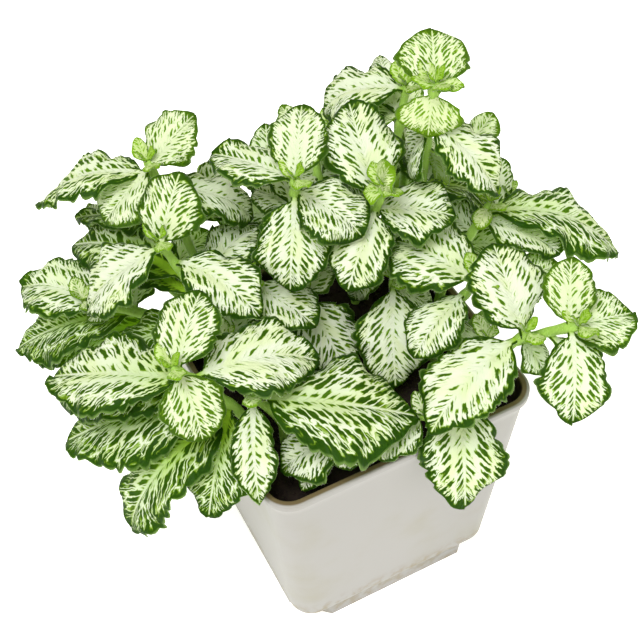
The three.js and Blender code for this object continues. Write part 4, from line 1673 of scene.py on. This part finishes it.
    def add_to(self, patch: Patch, hairs: Hairs, age: float) -> None:
        """Add the blade and its petiole as one closed sheet, and the fringe of hairs.

        Args:
            patch: the mesh of the leaves.
            hairs: the mesh of the down.
            age: the leaf's age.
        """
        middle, place, nearness = self.form()
        normal = unit(np.cross(np.gradient(middle, axis=0), np.gradient(middle, axis=1)))
        above, below = self.halves()
        upper = middle + normal * above[..., None]
        lower = middle - normal * below[..., None]
        rim = smooth(0.965, 1.0, self.reach) * smooth(0.05, 0.2, self.along)
        white = np.interp(age, AGES, WHITENESS) + self.draw(-self.white_jitter, self.white_jitter)
        span = [self.share, nearness, np.full(rim.shape, age)]
        kinds = [[np.full(rim.shape, white), np.full(rim.shape, face), rim] for face in (0.0, 1.0)]
        patch.add(
            np.concatenate([upper.reshape(-1, 3), lower.reshape(-1, 3)]),
            sheet_faces(*self.share.shape),
            vein_place=np.tile(place.reshape(-1, 3), (2, 1)),
            leaf_span=np.tile(np.stack(span, axis=-1).reshape(-1, 3), (2, 1)),
            leaf_kind=np.concatenate([np.stack(kind, axis=-1).reshape(-1, 3) for kind in kinds]),
        )
        self.add_fringe(hairs, middle, normal)

    def add_fringe(self, hairs: Hairs, middle: Array, normal: Array) -> None:
        """Add the fringe of short hairs along the margin.

        Args:
            hairs: takes the hairs.
            middle: the middle surface.
            normal: the directions out of its upper face.
        """
        size = min(1.0, self.leaf.length / 20)
        for column, inner in ((0, 1), (-1, -2)):
            edge = middle[2:, column]
            out = unit(edge - middle[2:, inner])
            for step in range(len(edge) - 1):
                run = edge[step + 1] - edge[step]
                for _ in range(2):
                    start = edge[step] + run * self.draw(0, 1)
                    way = out[step] + normal[step + 2, column] * self.draw(-0.5, 0.5)
                    way = way + run * self.draw(-0.4, 0.6)
                    hairs.add_hair(start, way, size * self.draw(0.5, 1.0))


def sheet_faces(rows: int, columns: int) -> Array:
    """Faces of a closed sheet: an upper and a lower grid of points, joined round their edge.

    Args:
        rows: rows of points in a grid.
        columns: points in a row.

    Returns:
        The faces.
    """
    half = rows * columns
    top = grid_faces(rows, columns)[:, ::-1]
    bottom = grid_faces(rows, columns) + half
    outline = np.concatenate([
        np.arange(columns - 1),
        np.arange(rows - 1) * columns + columns - 1,
        half - 1 - np.arange(columns - 1),
        (np.arange(rows - 1)[::-1] + 1) * columns,
    ])
    after = np.roll(outline, -1)
    edge = np.stack([after, after + half, outline + half, outline], axis=1)
    return np.concatenate([top, bottom, edge])


class Finishes:
    """The materials that every shoot shares."""

    def __init__(self) -> None:
        """Make each material once."""
        self.leaf = LeafTissue().make()
        self.stem = StemTissue().make()
        self.down = Down().make()


@dataclass
class Shoot:
    """A stem with its leaves, its bud and its down."""

    plan: ShootPlan
    leaves: list[Leaf]
    finishes: Finishes
    bud_leaf_length: float = 9.0
    bud_leaf_width_share: float = 0.62
    bud_droop: float = -20.0
    stem_sides: int = 12
    stem_step: float = 0.9
    stem_radii: tuple[float, ...] = (STEM_RADIUS, STEM_RADIUS, 1.45, 1.15)
    taper_length: float = 12.0
    node_swell: float = 0.28
    node_reach: float = 1.6
    largest_radius: float = 1.85
    rib_depth: float = 0.05
    ribs: int = 4
    hairs_a_ring: int = 5

    def build(self) -> None:
        """Build and dress the leaves, the stem and the down."""
        blades = Patch()
        stem = Patch()
        hairs = Hairs()
        for leaf in self.leaves + self.bud_leaves():
            draw = draws_from(5000 + 91 * leaf.number + 7 * len(self.plan.name), skipped=3)
            Blade(leaf, draw).add_to(blades, hairs, self.age_of(leaf))
        self.add_stem(stem, hairs)
        name, node = self.plan.name, self.plan.node
        place_on_frame(blades.make(f"leaves_{name}", self.finishes.leaf), "leaf", node)
        place_on_frame(stem.make(f"stem_{name}", self.finishes.stem), "leaf", node)
        place_on_frame(hairs.make(f"down_{name}", self.finishes.down), "leaf")

    def bud_leaves(self) -> list[Leaf]:
        """The closed pair of young leaves at the tip, and the pair that opens below it.

        Returns:
            The four leaves.
        """
        first_turn = draws_from(77 + len(self.plan.name) * 13)(0, 180)
        leaves = []
        for pair, (size, pitch) in enumerate(((0.6, 62), (1.0, 30))):
            length = self.bud_leaf_length * size
            for half in (0, 180):
                leaves.append(Leaf(
                    base=np.array(self.plan.tip) + (0, 0, 0.6 - 1.2 * pair),
                    heading=math.radians(first_turn + 90 * pair + half),
                    pitch=math.radians(pitch),
                    length=length,
                    width=length * self.bud_leaf_width_share,
                    droop=math.radians(self.bud_droop),
                    sweep=0.0,
                    roll=0.0,
                    mirror=1,
                    folds=2,
                    number=1000 + pair,
                ))
        return leaves

    def age_of(self, leaf: Leaf) -> float:
        """Age from 0 in the bud to 1 in the oldest, by the leaf's size and its place on the plant.

        Args:
            leaf: a leaf of the shoot.

        Returns:
            The age.
        """
        size = (leaf.length - YOUNGEST_LENGTH) / OLD_LENGTH_GAIN
        depth = (self.plan.tip[2] - leaf.base[2]) / OLD_DEPTH
        lowness = np.clip((LOW_FROM - leaf.base[2]) / LOW_SPAN, 0, 1)
        return float(np.clip(np.dot(AGE_SHARES, (size, depth, lowness)), 0, 1))

    def add_stem(self, patch: Patch, hairs: Hairs) -> None:
        """Add the faintly ribbed stem with its swollen nodes, and the down on it.

        Args:
            patch: takes the faces.
            hairs: takes the hairs.
        """
        tip = self.plan.tip[2]
        heights = np.arange(STEM_FOOT, tip + 0.5, self.stem_step)
        centres = self.plan.stem_at(heights)
        run = unit(np.gradient(centres, axis=0))
        lean = unit(np.array([*np.subtract(self.plan.tip[:2], self.plan.root), 0]))
        side = np.array([-lean[1], lean[0], 0])
        depth = np.cross(run, side)[:, None, :]
        radius = np.interp(heights, [STEM_FOOT, SOIL_TOP, tip - self.taper_length, tip], self.stem_radii)
        for leaf in self.leaves:
            radius += self.node_swell * np.exp(-(((heights - leaf.base[2]) / self.node_reach) ** 2))
        radius = np.minimum(radius, self.largest_radius)
        angle = np.arange(self.stem_sides) / self.stem_sides * FULL_TURN
        ribbed = (1 + self.rib_depth * np.cos(self.ribs * angle))[None, :, None]
        ring = (side * np.cos(angle)[None, :, None] + depth * np.sin(angle)[None, :, None]) * ribbed
        points = centres[:, None, :] + ring * radius[:, None, None]
        patch.add_tube(points, capped=True)
        draw = draws_from(301 + len(self.plan.name))
        above = heights > SOIL_TOP + 2
        for centre, around in zip(centres[above], points[above]):
            for _ in range(self.hairs_a_ring):
                start = around[int(draw(0, self.stem_sides - 0.01))]
                aside = np.array([draw(-0.4, 0.4), draw(-0.4, 0.4), draw(-0.3, 0.6)])
                hairs.add_hair(start, start - centre + aside, draw(0.5, 1.1))


@dataclass
class Studio:
    """A light table as floor, a bright sky with two lights, and the camera."""

    focal_length: float = 70.0
    sensor_width: float = 36.0
    elevation: float = 49.0
    yaw: float = 24.7
    roll: float = -3.4
    aside: float = -5.9
    above: float = 69.1
    distance: float = 459.0
    floor_reach: float = 3.0
    sky: str = "#FFFFE2"
    sky_strength: float = 0.55

    def build(self) -> None:
        """Build the floor, the lights and the camera."""
        self.add_floor()
        self.add_sky()
        self.add_light("key", (-0.45, -0.3, 1.4), 0.8, 21.5)
        self.add_light("fill", (0.3, -1.0, 0.7), 1.0, 3.5)
        self.add_camera()
        bpy.context.scene.view_settings.view_transform = "Standard"

    def add_floor(self) -> None:
        """Add the plain pale floor."""
        mesh = bpy.data.meshes.new("floor")
        reach = self.floor_reach
        corners = [(-reach, -reach, 0), (reach, -reach, 0), (reach, reach, 0), (-reach, reach, 0)]
        mesh.from_pydata(corners, [], [(0, 1, 2, 3)])
        mesh.materials.append(LightTable().make())
        link(bpy.data.objects.new("floor", mesh))

    def add_sky(self) -> None:
        """Add an even sky, faintly warm."""
        world = bpy.data.worlds.new("studio")
        bpy.context.scene.world = world
        world.use_nodes = True
        inputs = world.node_tree.nodes["Background"].inputs
        inputs["Color"].default_value = linear(self.sky)
        inputs["Strength"].default_value = self.sky_strength

    @staticmethod
    def add_light(name: str, place: tuple[float, float, float], size: float, power: float) -> None:
        """Add a square light that faces the plant, with its place and size in metres.

        Args:
            name: the light's name.
            place: where it stands, in metres.
            size: length of its side, in metres.
            power: its power in watts.
        """
        data = bpy.data.lights.new(name, "AREA")
        data.size = size
        data.energy = power
        light = link(bpy.data.objects.new(name, data))
        light.location = place
        toward = Vector((0, 0, 0.1)) - Vector(place)
        light.rotation_euler = toward.to_track_quat("-Z", "Y").to_euler()

    def add_camera(self) -> None:
        """Add the camera where the picture was taken from."""
        lift = math.radians(self.elevation)
        right = Vector((1, 0, 0))
        up = Vector((0, math.sin(lift), math.cos(lift)))
        back = Vector((0, -math.cos(lift), math.sin(lift)))
        place = (right * self.aside + up * self.above + back * self.distance) * MM
        tilt = math.radians(self.roll)
        level = right * math.cos(tilt) + up * math.sin(tilt)
        upright = up * math.cos(tilt) - right * math.sin(tilt)
        turn = Matrix.Rotation(math.radians(-self.yaw), 4, "Z")
        axes = Matrix((level, upright, back)).transposed().to_4x4()
        data = bpy.data.cameras.new("camera")
        data.lens = self.focal_length
        data.sensor_width = self.sensor_width
        data.clip_start = 0.01
        camera = link(bpy.data.objects.new("camera", data))
        camera.matrix_world = turn @ Matrix.Translation(place) @ axes
        bpy.context.scene.camera = camera


def main() -> None:
    """Build the plant piece by piece and note its size."""
    logging.basicConfig(level=logging.INFO)
    Studio().build()
    Pot().build()
    SoilBed().build(PLANS)
    finishes = Finishes()
    grown = grow_leaves(PLANS)
    for plan, leaves in zip(PLANS, grown):
        Shoot(plan, leaves, finishes).build()
    log.info("%d leaves grew", sum(len(leaves) for leaves in grown))


if __name__ == "__main__":
    main()
